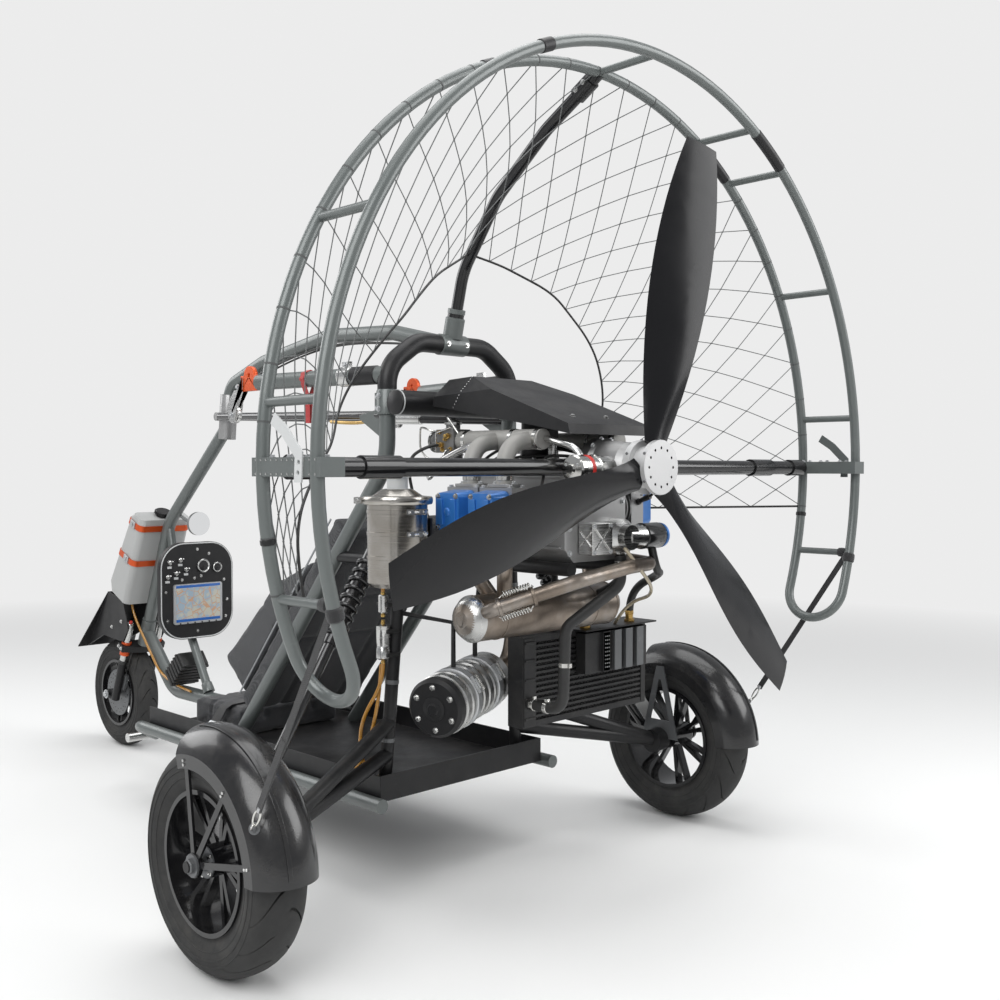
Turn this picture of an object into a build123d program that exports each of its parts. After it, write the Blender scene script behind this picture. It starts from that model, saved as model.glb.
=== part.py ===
"""Paramotor trike: three wheels, tube frame, flat-four engine and a caged pusher propeller.

Frame: +X to the right, +Y forward, +Z up, millimetres. The origin is on the ground,
under the middle of the object's box. Places are given as (x, ahead, up), where ahead
counts forward from the rear axle.
"""

import os
from math import cos, radians, sin

from build123d import *

os.makedirs("parts", exist_ok=True)

# Stance
wheelbase = 2040.0
track = 1590.0
rear_tyre_radius = 245.0
rear_tyre_width = 130.0
front_tyre_radius = 205.0
front_tyre_width = 84.0
seat_gap = 0.3  # between pieces that sit against each other

# Propeller and cage
hub_height = 1072.0
hub_plate_back = 546.0  # behind the rear axle
hub_plate_thickness = 12.0
hub_plate_radius = 62.0
blade_root_depth = 34.0
blade_tip_radius = 790.0
hoop_radius = 926.5
hoop_tube_radius = 12.5
front_hoop_back = 360.0
rear_hoop_back = 526.5
hoop_end_angle = -22.0  # below the horizontal through the hub

# The object's box runs from the back of the hub plate to the front of the front tyre.
axle_y = (hub_plate_back - wheelbase - front_tyre_radius) / 2

# Tube radii
spine_radius = 22.0
upright_radius = 21.0
arch_radius = 25.0
rail_radius = 18.0
arm_tube_radius = 19.0
post_radius = 17.0
stem_radius = 26.0
brace_radius = 12.0
bearer_radius = 16.0

# Frame stations
arch_ahead = 158.0
arm_height = 1310.0  # the wing arms' axes
arch_top = arm_height + 90
arch_shoulder = arm_height + 20
upright_x = 220.0
upright_top = arm_height - 70
rail_x = 310.0
rail_height = 235.0
pan_back = 100.0  # ahead of the rear axle
pan_front = wheelbase - 750
pan_thickness = 5.0
pan_lip = 66.0
clamp_ahead = wheelbase - 765
clamp_height = arm_height - 65

# Steering head
rake = 23.0
front_axle_height = front_tyre_radius
leg_x = 62.0
leg_lead = 45.0  # the front axle leads the legs by this much, level
steer_trail = 22.0  # the steering axis lies this far behind the legs, square to them
steerer_radius = 15.0
head_tube_radius = 26.0
crown_low = 200.0  # along the steering axis, from the axle's height
crown_thickness = 24.0
head_tube_length = 104.0
running_gap = 5.0

# Engine
gear_drop = 102.0  # from the propeller's axis down to the crankshaft
crank_height = hub_height - gear_drop
case_half_width = 110.0
case_height = 240.0
case_front = 20.0  # behind the rear axle
case_back = 355.0
cylinder_radius = 54.0
cylinder_reach = 205.0
head_reach = 258.0
cover_reach = 306.0


def at(x, ahead, up):
    """A place, from distances right, ahead of the rear axle and above the ground."""
    return Vector(x, axle_y + ahead, up)


def tube(points, radius, bend=60.0, mode=Mode.ADD):
    """Round tube along straight runs whose corners are rounded to the bend radius."""
    with BuildLine() as path:
        if len(points) == 2:
            Line(*points)
        else:
            FilletPolyline(*points, radius=bend)
    with BuildSketch(Plane(origin=points[0], z_dir=points[1] - points[0])) as section:
        Circle(radius)
    sweep(section.sketch, path=path.wires()[0], mode=mode)


def rod(start, end, radius, mode=Mode.ADD):
    """Straight round bar between two points."""
    with BuildSketch(Plane(origin=start, z_dir=end - start)) as section:
        Circle(radius)
    extrude(section.sketch, amount=(end - start).length, mode=mode)


def block(centre, size, mode=Mode.ADD):
    """Box about its centre, square to the frame."""
    with Locations(centre):
        Box(*size, mode=mode)


def ring(centre, axis, start, radius, arc=360.0, mode=Mode.ADD):
    """Round bar bent about an axis, from the start point, through the arc."""
    outward = start - centre
    with BuildSketch(Plane(origin=start, x_dir=outward, z_dir=axis.cross(outward))) as section:
        Circle(radius)
    revolve(section.sketch, axis=Axis(centre, axis), revolution_arc=arc, mode=mode)


def turned(centre, axis, profile, mode=Mode.ADD):
    """Solid of revolution from (along the axis, radius) corners, closed on the axis."""
    side = Vector(0, 0, 1) if abs(axis.Z) < 0.9 else Vector(1, 0, 0)
    radial = (side - axis * side.dot(axis)).normalized()
    corners = [(profile[0][0], 0.0), *profile, (profile[-1][0], 0.0)]
    with BuildSketch(Plane(origin=centre, x_dir=axis, z_dir=axis.cross(radial))) as section:
        with BuildLine():
            Polyline(*corners, close=True)
        make_face()
    revolve(section.sketch, axis=Axis(centre, axis), mode=mode)


def save(part, name):
    """Label a finished piece and write it."""
    part.label = name
    export_step(part, f"parts/{name}.step")


SIDES = (-1, 1)  # left, right
RIGHT = Vector(1, 0, 0)
FORWARD = Vector(0, 1, 0)
UP = Vector(0, 0, 1)
hub = at(0, -hub_plate_back, hub_height)


# Floor: a folded pan between two side rails
with BuildPart() as belly_pan:
    pan_half = rail_x - rail_radius - seat_gap
    pan_length = pan_front - pan_back
    pan_middle = at(0, (pan_front + pan_back) / 2, rail_height + pan_thickness / 2)
    block(pan_middle, (2 * pan_half, pan_length, pan_thickness))
    lip_up = rail_height + pan_lip / 2
    block(at(0, pan_back + pan_thickness / 2, lip_up), (2 * pan_half, pan_thickness, pan_lip))
    for side in SIDES:
        wall_x = side * (pan_half - pan_thickness / 2)
        block(at(wall_x, (pan_front + pan_back) / 2, lip_up), (pan_thickness, pan_length, pan_lip))
save(belly_pan.part, "belly_pan")

peg_ahead = pan_front + 120
peg_x = 205.0
peg_height = 175.0
rail_bend = 100.0


def rail_run(side):
    """Corners of one side rail: along the pan, then in to its foot peg."""
    return [
        at(side * rail_x, pan_back - 30, rail_height),
        at(side * rail_x, pan_front + 60, rail_height),
        at(side * peg_x, peg_ahead, peg_height),
    ]


with BuildPart() as side_rails:
    for side in SIDES:
        tube(rail_run(side), rail_radius, bend=rail_bend)
save(side_rails.part, "side_rails")

with BuildPart() as foot_pegs:
    for side in SIDES:
        inner = at(side * (peg_x - 40), peg_ahead + rail_radius, peg_height)
        outer = at(side * (peg_x + 95), peg_ahead + rail_radius, peg_height)
        rod(inner, outer, 15)
        tube(rail_run(side), rail_radius + seat_gap, bend=rail_bend, mode=Mode.SUBTRACT)
save(foot_pegs.part, "foot_pegs")

# Steering head: every place on it is given by its distance up the steering axis
steer_up = Vector(0, -sin(radians(rake)), cos(radians(rake)))
steer_ahead = Vector(0, cos(radians(rake)), sin(radians(rake)))
leg_foot = at(0, wheelbase - leg_lead, front_axle_height)
steer_foot = leg_foot - steer_ahead * steer_trail
head_low = crown_low + crown_thickness + running_gap
head_high = head_low + head_tube_length


def on_steering(along, across=0.0, lead=0.0):
    """A place on the steering head, from its axis."""
    return steer_foot + steer_up * along + RIGHT * across + steer_ahead * lead


stem_bend = 120.0
stem_run = [
    on_steering(head_low + head_tube_length / 2),
    at(0, wheelbase - 385, 262),
    at(0, pan_front - 40, rail_height + pan_thickness + stem_radius + seat_gap),
]
with BuildPart() as front_stem:
    rod(on_steering(head_low), on_steering(head_high), head_tube_radius)
    tube(stem_run, stem_radius - 1, bend=stem_bend)
    rod(on_steering(head_low), on_steering(head_high), steerer_radius + seat_gap, mode=Mode.SUBTRACT)
save(front_stem.part, "front_stem")

# Front down tube, from the take-apart clamp to the top of the head, in line with the steering
knee_along = 736.0
down_bend = 180.0
tube_knee = on_steering(knee_along)
down_run = [at(0, clamp_ahead + 20, clamp_height - 40), tube_knee, on_steering(head_high + seat_gap)]
with BuildPart() as down_tube:
    tube(down_run, spine_radius, bend=down_bend)
save(down_tube.part, "down_tube")

# Branch from the knee down to the stem, carrying the instrument panel
branch_foot = at(0, wheelbase - 615, 300)
post_high = (wheelbase - 380, 760.0)  # ahead, up
post_low = (wheelbase - 495, 480.0)
post_corners = [tube_knee + UP * -10, at(0, *post_high), at(0, *post_low), branch_foot]
panel_post_radius = 15.0
with BuildPart() as panel_post:
    tube(post_corners, panel_post_radius, bend=90)
    tube(down_run, spine_radius + seat_gap, bend=down_bend, mode=Mode.SUBTRACT)
    tube(stem_run, stem_radius - 1 + seat_gap, bend=stem_bend, mode=Mode.SUBTRACT)
save(panel_post.part, "panel_post")

# Overhead spine: from the roll arch over the seat to the take-apart clamp
spine_reach = clamp_ahead - arch_ahead
spine_run = [
    at(0, arch_ahead, arch_top),
    at(0, arch_ahead + 0.2166 * spine_reach, arch_top + 55),
    at(0, arch_ahead + 0.4852 * spine_reach, arch_top + 70),
    at(0, arch_ahead + 0.8075 * spine_reach, arch_top + 15),
    at(0, clamp_ahead - 13, arch_top - 50),
    at(0, clamp_ahead, clamp_height + 40),
]
arch_foot = upright_top + seat_gap
arch_run = [
    at(-upright_x, arch_ahead, arch_foot),
    at(-upright_x, arch_ahead, arch_shoulder),
    at(-120, arch_ahead, arch_top),
    at(120, arch_ahead, arch_top),
    at(upright_x, arch_ahead, arch_shoulder),
    at(upright_x, arch_ahead, arch_foot),
]
spine_bend = 70.0
arch_bend = 90.0
with BuildPart() as spine_tube:
    tube(spine_run, spine_radius, bend=spine_bend)
    rod(arch_run[2], arch_run[3], arch_radius + seat_gap, mode=Mode.SUBTRACT)
    block(at(0, arch_ahead - 60, arch_top), (120, 120, 120), mode=Mode.SUBTRACT)
save(spine_tube.part, "spine_tube")

clamp_radius = spine_radius + 7
clamp_ends = (at(0, clamp_ahead + 15, clamp_height - 75), at(0, clamp_ahead, clamp_height + 75))
clamp_pin_radius = 14.0
clamp_pin_half = 46.0
clamp_pin = at(0, clamp_ahead + 10, clamp_height)
with BuildPart() as frame_clamp:
    rod(*clamp_ends, clamp_radius)
    rod(clamp_pin - RIGHT * clamp_pin_half, clamp_pin + RIGHT * clamp_pin_half, clamp_pin_radius)
    tube(down_run, spine_radius + seat_gap, bend=down_bend, mode=Mode.SUBTRACT)
    tube(spine_run, spine_radius + seat_gap, bend=spine_bend, mode=Mode.SUBTRACT)
save(frame_clamp.part, "frame_clamp")

# Roll arch and the uprights that carry it
with BuildPart() as roll_arch:
    tube(arch_run, arch_radius, bend=arch_bend)
save(roll_arch.part, "roll_arch")

knee_up = 1085.0
foot_ahead = wheelbase - 1160
foot_up = 245.0
upright_bend = 160.0
floor_top = rail_height + pan_thickness + seat_gap


def upright_run(side):
    """Corners of one upright: down from the arch, then forward to the floor."""
    return [
        at(side * upright_x, arch_ahead, upright_top),
        at(side * upright_x, arch_ahead, knee_up),
        at(side * upright_x, foot_ahead, foot_up),
    ]


with BuildPart() as uprights:
    for side in SIDES:
        tube(upright_run(side), upright_radius, bend=upright_bend)
    block(at(0, foot_ahead + 20, floor_top - 50), (3 * upright_x, 400, 100), mode=Mode.SUBTRACT)
save(uprights.part, "uprights")

# Wing arms with their hang points, and the lower braces to the clamp
hang_x = 300.0
hang_ahead = 667.0
hang_bore = 6.0
hang_thickness = 14.0
with BuildPart() as wing_arms:
    for side in SIDES:
        arm_start = at(side * upright_x, arch_ahead, arm_height)
        rod(arm_start, at(side * hang_x, hang_ahead - 42, arm_height), spine_radius)
        block(at(side * hang_x, hang_ahead, arm_height), (100, 2 * 42, 100), mode=Mode.SUBTRACT)
    tube(arch_run, arch_radius + seat_gap, bend=arch_bend, mode=Mode.SUBTRACT)
    block(at(0, arch_ahead - 60, arm_height), (800, 120, 120), mode=Mode.SUBTRACT)
save(wing_arms.part, "wing_arms")

with BuildPart() as hang_fittings:
    for side in SIDES:
        base = at(side * hang_x, hang_ahead, arm_height)
        block(base, (hang_thickness, 2 * 42 - 2 * seat_gap, 44))
        rod(base + UP * 22 - RIGHT * hang_thickness / 2, base + UP * 22 + RIGHT * hang_thickness / 2, 26)
        rod(base + UP * 22 - RIGHT * hang_thickness, base + UP * 22 + RIGHT * hang_thickness, hang_bore,
            mode=Mode.SUBTRACT)
save(hang_fittings.part, "hang_fittings")

brace_up = arm_height - 105
with BuildPart() as lower_braces:
    for side in SIDES:
        brace_start = at(side * upright_x, arch_ahead, brace_up)
        rod(brace_start, clamp_pin + RIGHT * side * 36, brace_radius)
        tube(upright_run(side), upright_radius + seat_gap, bend=upright_bend, mode=Mode.SUBTRACT)
    rod(clamp_pin - RIGHT * 90, clamp_pin + RIGHT * 90, clamp_pin_radius + seat_gap, mode=Mode.SUBTRACT)
    block(at(0, arch_ahead - 60, brace_up), (800, 120, 120), mode=Mode.SUBTRACT)
    block(clamp_pin + FORWARD * 60, (300, 120, 120), mode=Mode.SUBTRACT)
    rod(*clamp_ends, clamp_radius + seat_gap, mode=Mode.SUBTRACT)
save(lower_braces.part, "lower_braces")

# Engine cradle: a cross tube on two posts, bearers under the case, stays to the uprights
cross_ahead = 130.0
bearer_x = 88.0
bearer_height = crank_height - case_height / 2 - bearer_radius - seat_gap
cross_half = 292.0
slope_ahead = (foot_ahead - arch_ahead) / (knee_up - foot_up)
stay_end = arch_ahead + (knee_up - bearer_height) * slope_ahead  # where the uprights cross the bearers' height
cross_radius = bearer_radius + 3
post_foot_x = 240.0
post_foot_ahead = 150.0
post_top_x = 200.0


def post_run(side):
    """Ends of one post, from the floor up to the cross tube."""
    return at(side * post_foot_x, post_foot_ahead, floor_top), at(side * post_top_x, cross_ahead, bearer_height)


with BuildPart() as engine_cradle:
    rod(at(-cross_half, cross_ahead, bearer_height), at(cross_half, cross_ahead, bearer_height), cross_radius)
    for side in SIDES:
        rod(at(side * bearer_x, cross_ahead, bearer_height), at(side * bearer_x, -case_back, bearer_height),
            bearer_radius)
        rod(at(side * upright_x, cross_ahead, bearer_height), at(side * upright_x, stay_end, bearer_height),
            bearer_radius - 1)
        rod(*post_run(side), post_radius)
    for side in SIDES:
        tube(upright_run(side), upright_radius + seat_gap, bend=upright_bend, mode=Mode.SUBTRACT)
    block(at(0, stay_end + 100, bearer_height), (600, 200, 100), mode=Mode.SUBTRACT)
    block(at(0, post_foot_ahead, floor_top - 20), (700, 200, 40), mode=Mode.SUBTRACT)
save(engine_cradle.part, "engine_cradle")

# Rear suspension arms, each with its knuckle and stub axle
axle_x = track / 2
knuckle_x = axle_x - rear_tyre_width / 2 - 32
knuckle_radius = 34.0
stub_radius = 12.0
stub_reach = 90.0  # past the wheel's middle
rear_axle_height = rear_tyre_radius
arm_pivot_heights = (420.0, 338.0)  # on the posts' axes
with BuildPart() as rear_arms:
    for side in SIDES:
        knuckle = at(side * knuckle_x, 0, rear_axle_height)
        post_low_end, post_high_end = post_run(side)
        for up in arm_pivot_heights:
            share = (up - floor_top) / (bearer_height - floor_top)
            rod(post_low_end + (post_high_end - post_low_end) * share, knuckle, arm_tube_radius)
        rod(knuckle - RIGHT * side * 26, knuckle + RIGHT * side * 24, knuckle_radius)
        rod(knuckle, at(side * (axle_x + stub_reach), 0, rear_axle_height), stub_radius)
        rod(*post_run(side), post_radius + seat_gap, mode=Mode.SUBTRACT)
save(rear_arms.part, "rear_arms")

# Struts: a damper with a coil spring on its upper half
strut_low = (700.0, 60.0, 290.0)
strut_high = (272.0, 150.0, bearer_height + 28.3)
coil_count = 9
with BuildPart() as struts:
    for side in SIDES:
        low = at(side * strut_low[0], strut_low[1], strut_low[2])
        high = at(side * strut_high[0], strut_high[1], strut_high[2])
        along = (high - low).normalized()
        length = (high - low).length
        rod(low, low + along * length * 0.62, 14)
        rod(low + along * length * 0.62, high, 19)
        for step in range(coil_count):
            coil = low + along * length * (0.66 + 0.28 * step / (coil_count - 1))
            across = along.cross(FORWARD).normalized()
            ring(coil, along, coil + across * 23, 5)
    for side in SIDES:
        knuckle = at(side * knuckle_x, 0, rear_axle_height)
        rod(knuckle - RIGHT * side * 30, knuckle + RIGHT * side * 30, knuckle_radius + seat_gap,
            mode=Mode.SUBTRACT)
    rod(at(-300, cross_ahead, bearer_height), at(300, cross_ahead, bearer_height), cross_radius + seat_gap,
        mode=Mode.SUBTRACT)
save(struts.part, "struts")

# Wheels
rear_rim_radius = 152.4
rear_rim_width = 100.0
front_rim_radius = 127.0
front_rim_width = 66.0
hub_bore_gap = 0.3


def tyre(centre, radius, width, rim_radius, rim_width):
    """Tyre on its rim, turned about a level axle."""
    shoulder = radius - 0.09 * radius
    with BuildSketch(Plane(origin=centre, x_dir=RIGHT, z_dir=-FORWARD)) as section:
        with BuildLine():
            foot, crown = (rim_width / 2, rim_radius), (0.40 * width, shoulder)
            bulge = (width / 2, (rim_radius + shoulder) / 2)
            ThreePointArc(foot, bulge, crown)
            ThreePointArc(crown, (0, radius), (-crown[0], crown[1]))
            ThreePointArc((-crown[0], crown[1]), (-bulge[0], bulge[1]), (-foot[0], foot[1]))
            Line((-foot[0], foot[1]), foot)
        make_face()
    revolve(section.sketch, axis=Axis(centre, RIGHT))


def wheel(centre, rim_radius, rim_width, spokes, bore):
    """Cast wheel: rim barrel, paired spokes and a bored hub."""
    barrel, lip = 10.0, 6.0
    half = rim_width / 2 + lip
    rod(centre - RIGHT * half, centre + RIGHT * half, rim_radius)
    rod(centre - RIGHT * half, centre + RIGHT * half, rim_radius - barrel, mode=Mode.SUBTRACT)
    rod(centre - RIGHT * rim_width * 0.42, centre + RIGHT * rim_width * 0.42, 34)
    for spoke in range(2 * spokes):
        lean = 7.0 if spoke % 2 else -7.0
        angle = radians(360.0 * (spoke // 2) / spokes + lean)
        outward = Vector(0, cos(angle), sin(angle))
        with BuildSketch(Plane(origin=centre + outward * 28, x_dir=RIGHT, z_dir=outward)) as section:
            Rectangle(22, 11)
        extrude(section.sketch, amount=rim_radius - barrel / 2 - 28)
    rod(centre - RIGHT * half * 2, centre + RIGHT * half * 2, bore, mode=Mode.SUBTRACT)


front_hub = at(0, wheelbase, front_axle_height)
front_axle_radius = 8.0
disc_radius = 88.0
with BuildPart() as front_tyre:
    tyre(front_hub, front_tyre_radius, front_tyre_width, front_rim_radius, front_rim_width)
save(front_tyre.part, "front_tyre")
with BuildPart() as front_wheel:
    wheel(front_hub, front_rim_radius, front_rim_width, 5, front_axle_radius + hub_bore_gap)
    disc_face = front_hub - RIGHT * front_rim_width * 0.42
    rod(disc_face, disc_face - RIGHT * 5, disc_radius)
    rod(disc_face, disc_face - RIGHT * 5, front_axle_radius + hub_bore_gap, mode=Mode.SUBTRACT)
save(front_wheel.part, "front_wheel")

for side, hand in zip(SIDES, ("left", "right")):
    rear_hub = at(side * axle_x, 0, rear_axle_height)
    with BuildPart() as rear_tyre:
        tyre(rear_hub, rear_tyre_radius, rear_tyre_width, rear_rim_radius, rear_rim_width)
    save(rear_tyre.part, f"rear_tyre_{hand}")
    with BuildPart() as rear_wheel:
        wheel(rear_hub, rear_rim_radius, rear_rim_width, 7, stub_radius + hub_bore_gap)
    save(rear_wheel.part, f"rear_wheel_{hand}")

# Rear fenders on their brackets
fender_radius = 285.0
fender_width = 152.0
fender_skin = 4.0
wall_radius = fender_radius - 55  # where the side walls meet the crown
fender_from, fender_to = 2.0, 106.0  # about the axle, from straight back
with BuildPart() as fenders:
    for side in SIDES:
        rear_hub = at(side * axle_x, 0, rear_axle_height)
        back = Vector(0, -cos(radians(fender_from)), sin(radians(fender_from)))
        with BuildSketch(Plane(origin=rear_hub, x_dir=RIGHT, z_dir=RIGHT.cross(back))) as section:
            for grow, mode in ((0.0, Mode.ADD), (fender_skin, Mode.SUBTRACT)):
                half = fender_width / 2 - grow
                with BuildLine() as outline:
                    Line((-half, 200), (-half, wall_radius))
                    ThreePointArc((-half, wall_radius), (0, fender_radius - grow), (half, wall_radius))
                    Line((half, wall_radius), (half, 200))
                    Line((half, 200), (-half, 200))
                make_face(outline.edges(), mode=mode)
        revolve(section.sketch, axis=Axis(rear_hub, -RIGHT), revolution_arc=fender_to - fender_from)
save(fenders.part, "fenders")

bracket_angles = (12.0, 55.0, 98.0)
gusset_outline = ((-66, 4), (-13, 222), (13, 222), (66, 4))  # ahead of and above the axle
gusset_window = ((-36, 58), (-4, 182), (4, 182), (36, 58))
gusset_thickness = 5.0
with BuildPart() as fender_brackets:
    for side in SIDES:
        face_x = side * (axle_x + fender_width / 2 - fender_skin - 3.3)
        centre = at(face_x, 0, rear_axle_height)
        for angle in bracket_angles:
            outward = Vector(0, -cos(radians(angle)), sin(radians(angle)))
            with BuildSketch(Plane(origin=centre, x_dir=RIGHT, z_dir=outward)) as section:
                Rectangle(6, 14)
            extrude(section.sketch, amount=222)
        rod(centre - RIGHT * 4, centre + RIGHT * 4, 26)
        rod(at(side * axle_x, 0, rear_axle_height), at(side * (axle_x + 120), 0, rear_axle_height),
            stub_radius + seat_gap, mode=Mode.SUBTRACT)
        gusset_x = side * (axle_x - fender_width / 2 - seat_gap)
        inward = RIGHT * -side
        gusset_plane = Plane(origin=at(gusset_x, 0, rear_axle_height), x_dir=FORWARD, z_dir=RIGHT)
        with BuildSketch(gusset_plane) as section:
            with BuildLine() as outline:
                Polyline(*gusset_outline, close=True)
            make_face(outline.edges())
            with BuildLine() as window:
                Polyline(*gusset_window, close=True)
            make_face(window.edges(), mode=Mode.SUBTRACT)
        extrude(section.sketch, amount=gusset_thickness, dir=inward)
        knuckle = at(side * knuckle_x, 0, rear_axle_height)
        rod(knuckle - RIGHT * 40, knuckle + RIGHT * 40, knuckle_radius + seat_gap, mode=Mode.SUBTRACT)
save(fender_brackets.part, "fender_brackets")

# Fork: a crown with its steerer, stanchions, and sliders joined by the axle
stanchion_radius = 13.0
crown_half = leg_x + 24
crown_top = crown_low + crown_thickness
crown_outline = (  # across, ahead of the steering axis
    (-crown_half, steer_trail - 20), (-crown_half, steer_trail + 20), (crown_half, steer_trail + 20),
    (crown_half, steer_trail - 20), (20, -16), (-20, -16),
)


def on_leg(side, along):
    """A place on one fork leg's axis."""
    return on_steering(along, side * leg_x, steer_trail)


with BuildPart() as fork_crown:
    with BuildSketch(Plane(origin=on_steering(crown_low), x_dir=RIGHT, z_dir=steer_up)) as section:
        with BuildLine():
            Polyline(*crown_outline, close=True)
        make_face()
    extrude(section.sketch, amount=crown_thickness)
    rod(on_steering(crown_low), on_steering(head_high - running_gap), steerer_radius)
    for side in SIDES:
        rod(on_leg(side, crown_low - 5), on_leg(side, crown_top + 5), stanchion_radius + seat_gap,
            mode=Mode.SUBTRACT)
save(fork_crown.part, "fork_crown")

slider_top = 150.0
stanchion_end = 305.0
with BuildPart() as fork_stanchions:
    for side in SIDES:
        rod(on_leg(side, slider_top + seat_gap), on_leg(side, stanchion_end), stanchion_radius)
save(fork_stanchions.part, "fork_stanchions")

with BuildPart() as fork_sliders:
    for side in SIDES:
        rod(on_leg(side, -18), on_leg(side, slider_top), 15)
        lug = at(side * leg_x, wheelbase - leg_lead / 2, front_axle_height)
        block(lug, (20, leg_lead, 34))
        rod(front_hub + RIGHT * side * (leg_x - 10), front_hub + RIGHT * side * (leg_x + 10), 17.5)
    rod(front_hub - RIGHT * (leg_x + 18), front_hub + RIGHT * (leg_x + 18), front_axle_radius)
save(fork_sliders.part, "fork_sliders")

# Visor over the front wheel: a sloping front plate between two cheeks on the stanchions
visor_side = ((199, 354), (79, 378), (1, 297), (19, 235), (170, 182), (277, 76))  # ahead of, along the axis
visor_thickness = 4.0
cheek_x = leg_x + stanchion_radius + seat_gap
half_low = 118.0
with BuildPart() as visor:
    for side in SIDES:
        cheek = on_steering(0, side * (cheek_x + visor_thickness / 2))
        with BuildSketch(Plane(origin=cheek, x_dir=steer_ahead, z_dir=RIGHT)) as section:
            with BuildLine():
                Polyline(*visor_side, close=True)
            make_face()
        extrude(section.sketch, amount=visor_thickness / 2, both=True)
    (lead_high, along_high), (lead_low, along_low) = visor_side[0], visor_side[-1]
    face_top = on_steering(along_high, 0, lead_high)
    face_low = on_steering(along_low, 0, lead_low)
    face_down = (face_low - face_top).normalized()
    face_length = (face_low - face_top).length
    half_high = cheek_x + visor_thickness
    with BuildSketch(Plane(origin=face_top, x_dir=RIGHT, z_dir=RIGHT.cross(face_down))) as section:
        with BuildLine():
            Polyline((-half_high, 0), (half_high, 0), (half_low, face_length), (-half_low, face_length),
                     close=True)
        make_face()
    extrude(section.sketch, amount=visor_thickness / 2, both=True)
save(visor.part, "visor")

# Fuel tank in front of the down tube, deepest near its foot, held by two straps
tank_width = 200.0
tank_round = 22.0
tank_stations = ((392.0, 128.0), (425.0, 150.0), (715.0, 91.0), (735.0, 72.0))  # along the axis, depth
strap_places = (549.0, 689.0)
strap_width = 22.0
strap_skin = 3.0


def tank_depth(along):
    """Depth of the tank's long middle part at a height along the steering axis."""
    (low, deep), (high, shallow) = tank_stations[1:3]
    return deep + (shallow - deep) * (along - low) / (high - low)


def tank_body(stations, grow, mode=Mode.ADD):
    """Loft through rounded sections that stand against the down tube."""
    sections = []
    for along, depth in stations:
        plane = Plane(origin=on_steering(along, 0, spine_radius + seat_gap), x_dir=RIGHT, z_dir=steer_up)
        with BuildSketch(plane) as section:
            with Locations((0, depth / 2)):
                RectangleRounded(tank_width + 2 * grow, depth + 2 * grow, tank_round + grow)
        sections.append(section.sketch.face())
    loft(sections, ruled=True, mode=mode)


with BuildPart() as fuel_tank:
    tank_body(tank_stations, 0.0)
    tube(down_run, spine_radius + seat_gap, bend=down_bend, mode=Mode.SUBTRACT)
save(fuel_tank.part, "fuel_tank")

with BuildPart() as tank_straps:
    for place in strap_places:
        ends = [(along, tank_depth(along)) for along in (place, place + strap_width)]
        tank_body(ends, strap_skin + seat_gap)
    tank_body([(along, tank_depth(along)) for along in (tank_stations[1][0], tank_stations[2][0])], seat_gap,
              mode=Mode.SUBTRACT)
    tube(down_run, spine_radius + seat_gap, bend=down_bend, mode=Mode.SUBTRACT)
save(tank_straps.part, "tank_straps")

# Round mirror on a stalk from the down tube
mirror_centre = at(40, wheelbase - 490, 872)
mirror_foot = tube_knee + (down_run[0] - tube_knee) * 0.115
with BuildPart() as mirror:
    rod(mirror_centre - FORWARD * 4, mirror_centre + FORWARD * 10, 42)
    tube([mirror_centre, mirror_centre + FORWARD * 60, mirror_foot], 6, bend=25)
    tube(down_run, spine_radius + seat_gap, bend=down_bend, mode=Mode.SUBTRACT)
save(mirror.part, "mirror")

# Instrument panel on the branch tube
panel_ahead = wheelbase - 525
panel_centre = at(0, panel_ahead, 640)
panel_depth = 22.0
with BuildPart() as instrument_panel:
    with BuildSketch(Plane(origin=panel_centre, x_dir=RIGHT, z_dir=-FORWARD)) as section:
        RectangleRounded(285, 340, 90)
    extrude(section.sketch, amount=panel_depth)
    for up in (570, 700):
        reach = post_low[0] + (up - post_low[1]) * (post_high[0] - post_low[0]) / (post_high[1] - post_low[1])
        rod(at(0, panel_ahead, up), at(0, reach, up), 12)
    tube(post_corners, panel_post_radius + seat_gap, bend=90, mode=Mode.SUBTRACT)
save(instrument_panel.part, "instrument_panel")

with BuildPart() as panel_display:
    display_back = panel_centre - FORWARD * panel_depth - UP * 45
    with BuildSketch(Plane(origin=display_back, x_dir=RIGHT, z_dir=-FORWARD)) as section:
        RectangleRounded(190, 140, 8)
    extrude(section.sketch, amount=6)
save(panel_display.part, "panel_display")

# Seat: back, base and side bolsters, placed along and square to the sloping uprights
seat_half = 195.0
back_half = upright_x - 1
bolster_width = 42.0
back_thickness = 70.0
base_thickness = 90.0
base_length = 290.0
slope_down = (at(0, foot_ahead, foot_up) - at(0, arch_ahead, knee_up)).normalized()
slope_out = RIGHT.cross(slope_down)
seat_plane = Plane(origin=at(0, arch_ahead, knee_up), x_dir=slope_down, z_dir=slope_down.cross(slope_out))
slope_length = (at(0, foot_ahead, foot_up) - at(0, arch_ahead, knee_up)).length
back_from, back_to = 0.2257 * slope_length, 0.9209 * slope_length
back_low = upright_radius + seat_gap
with BuildPart() as seat_back:
    with BuildSketch(seat_plane) as section:
        with Locations(((back_from + back_to) / 2, back_low + back_thickness / 2)):
            RectangleRounded(back_to - back_from, back_thickness, 20)
    extrude(section.sketch, amount=back_half, both=True)
save(seat_back.part, "seat_back")

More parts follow.
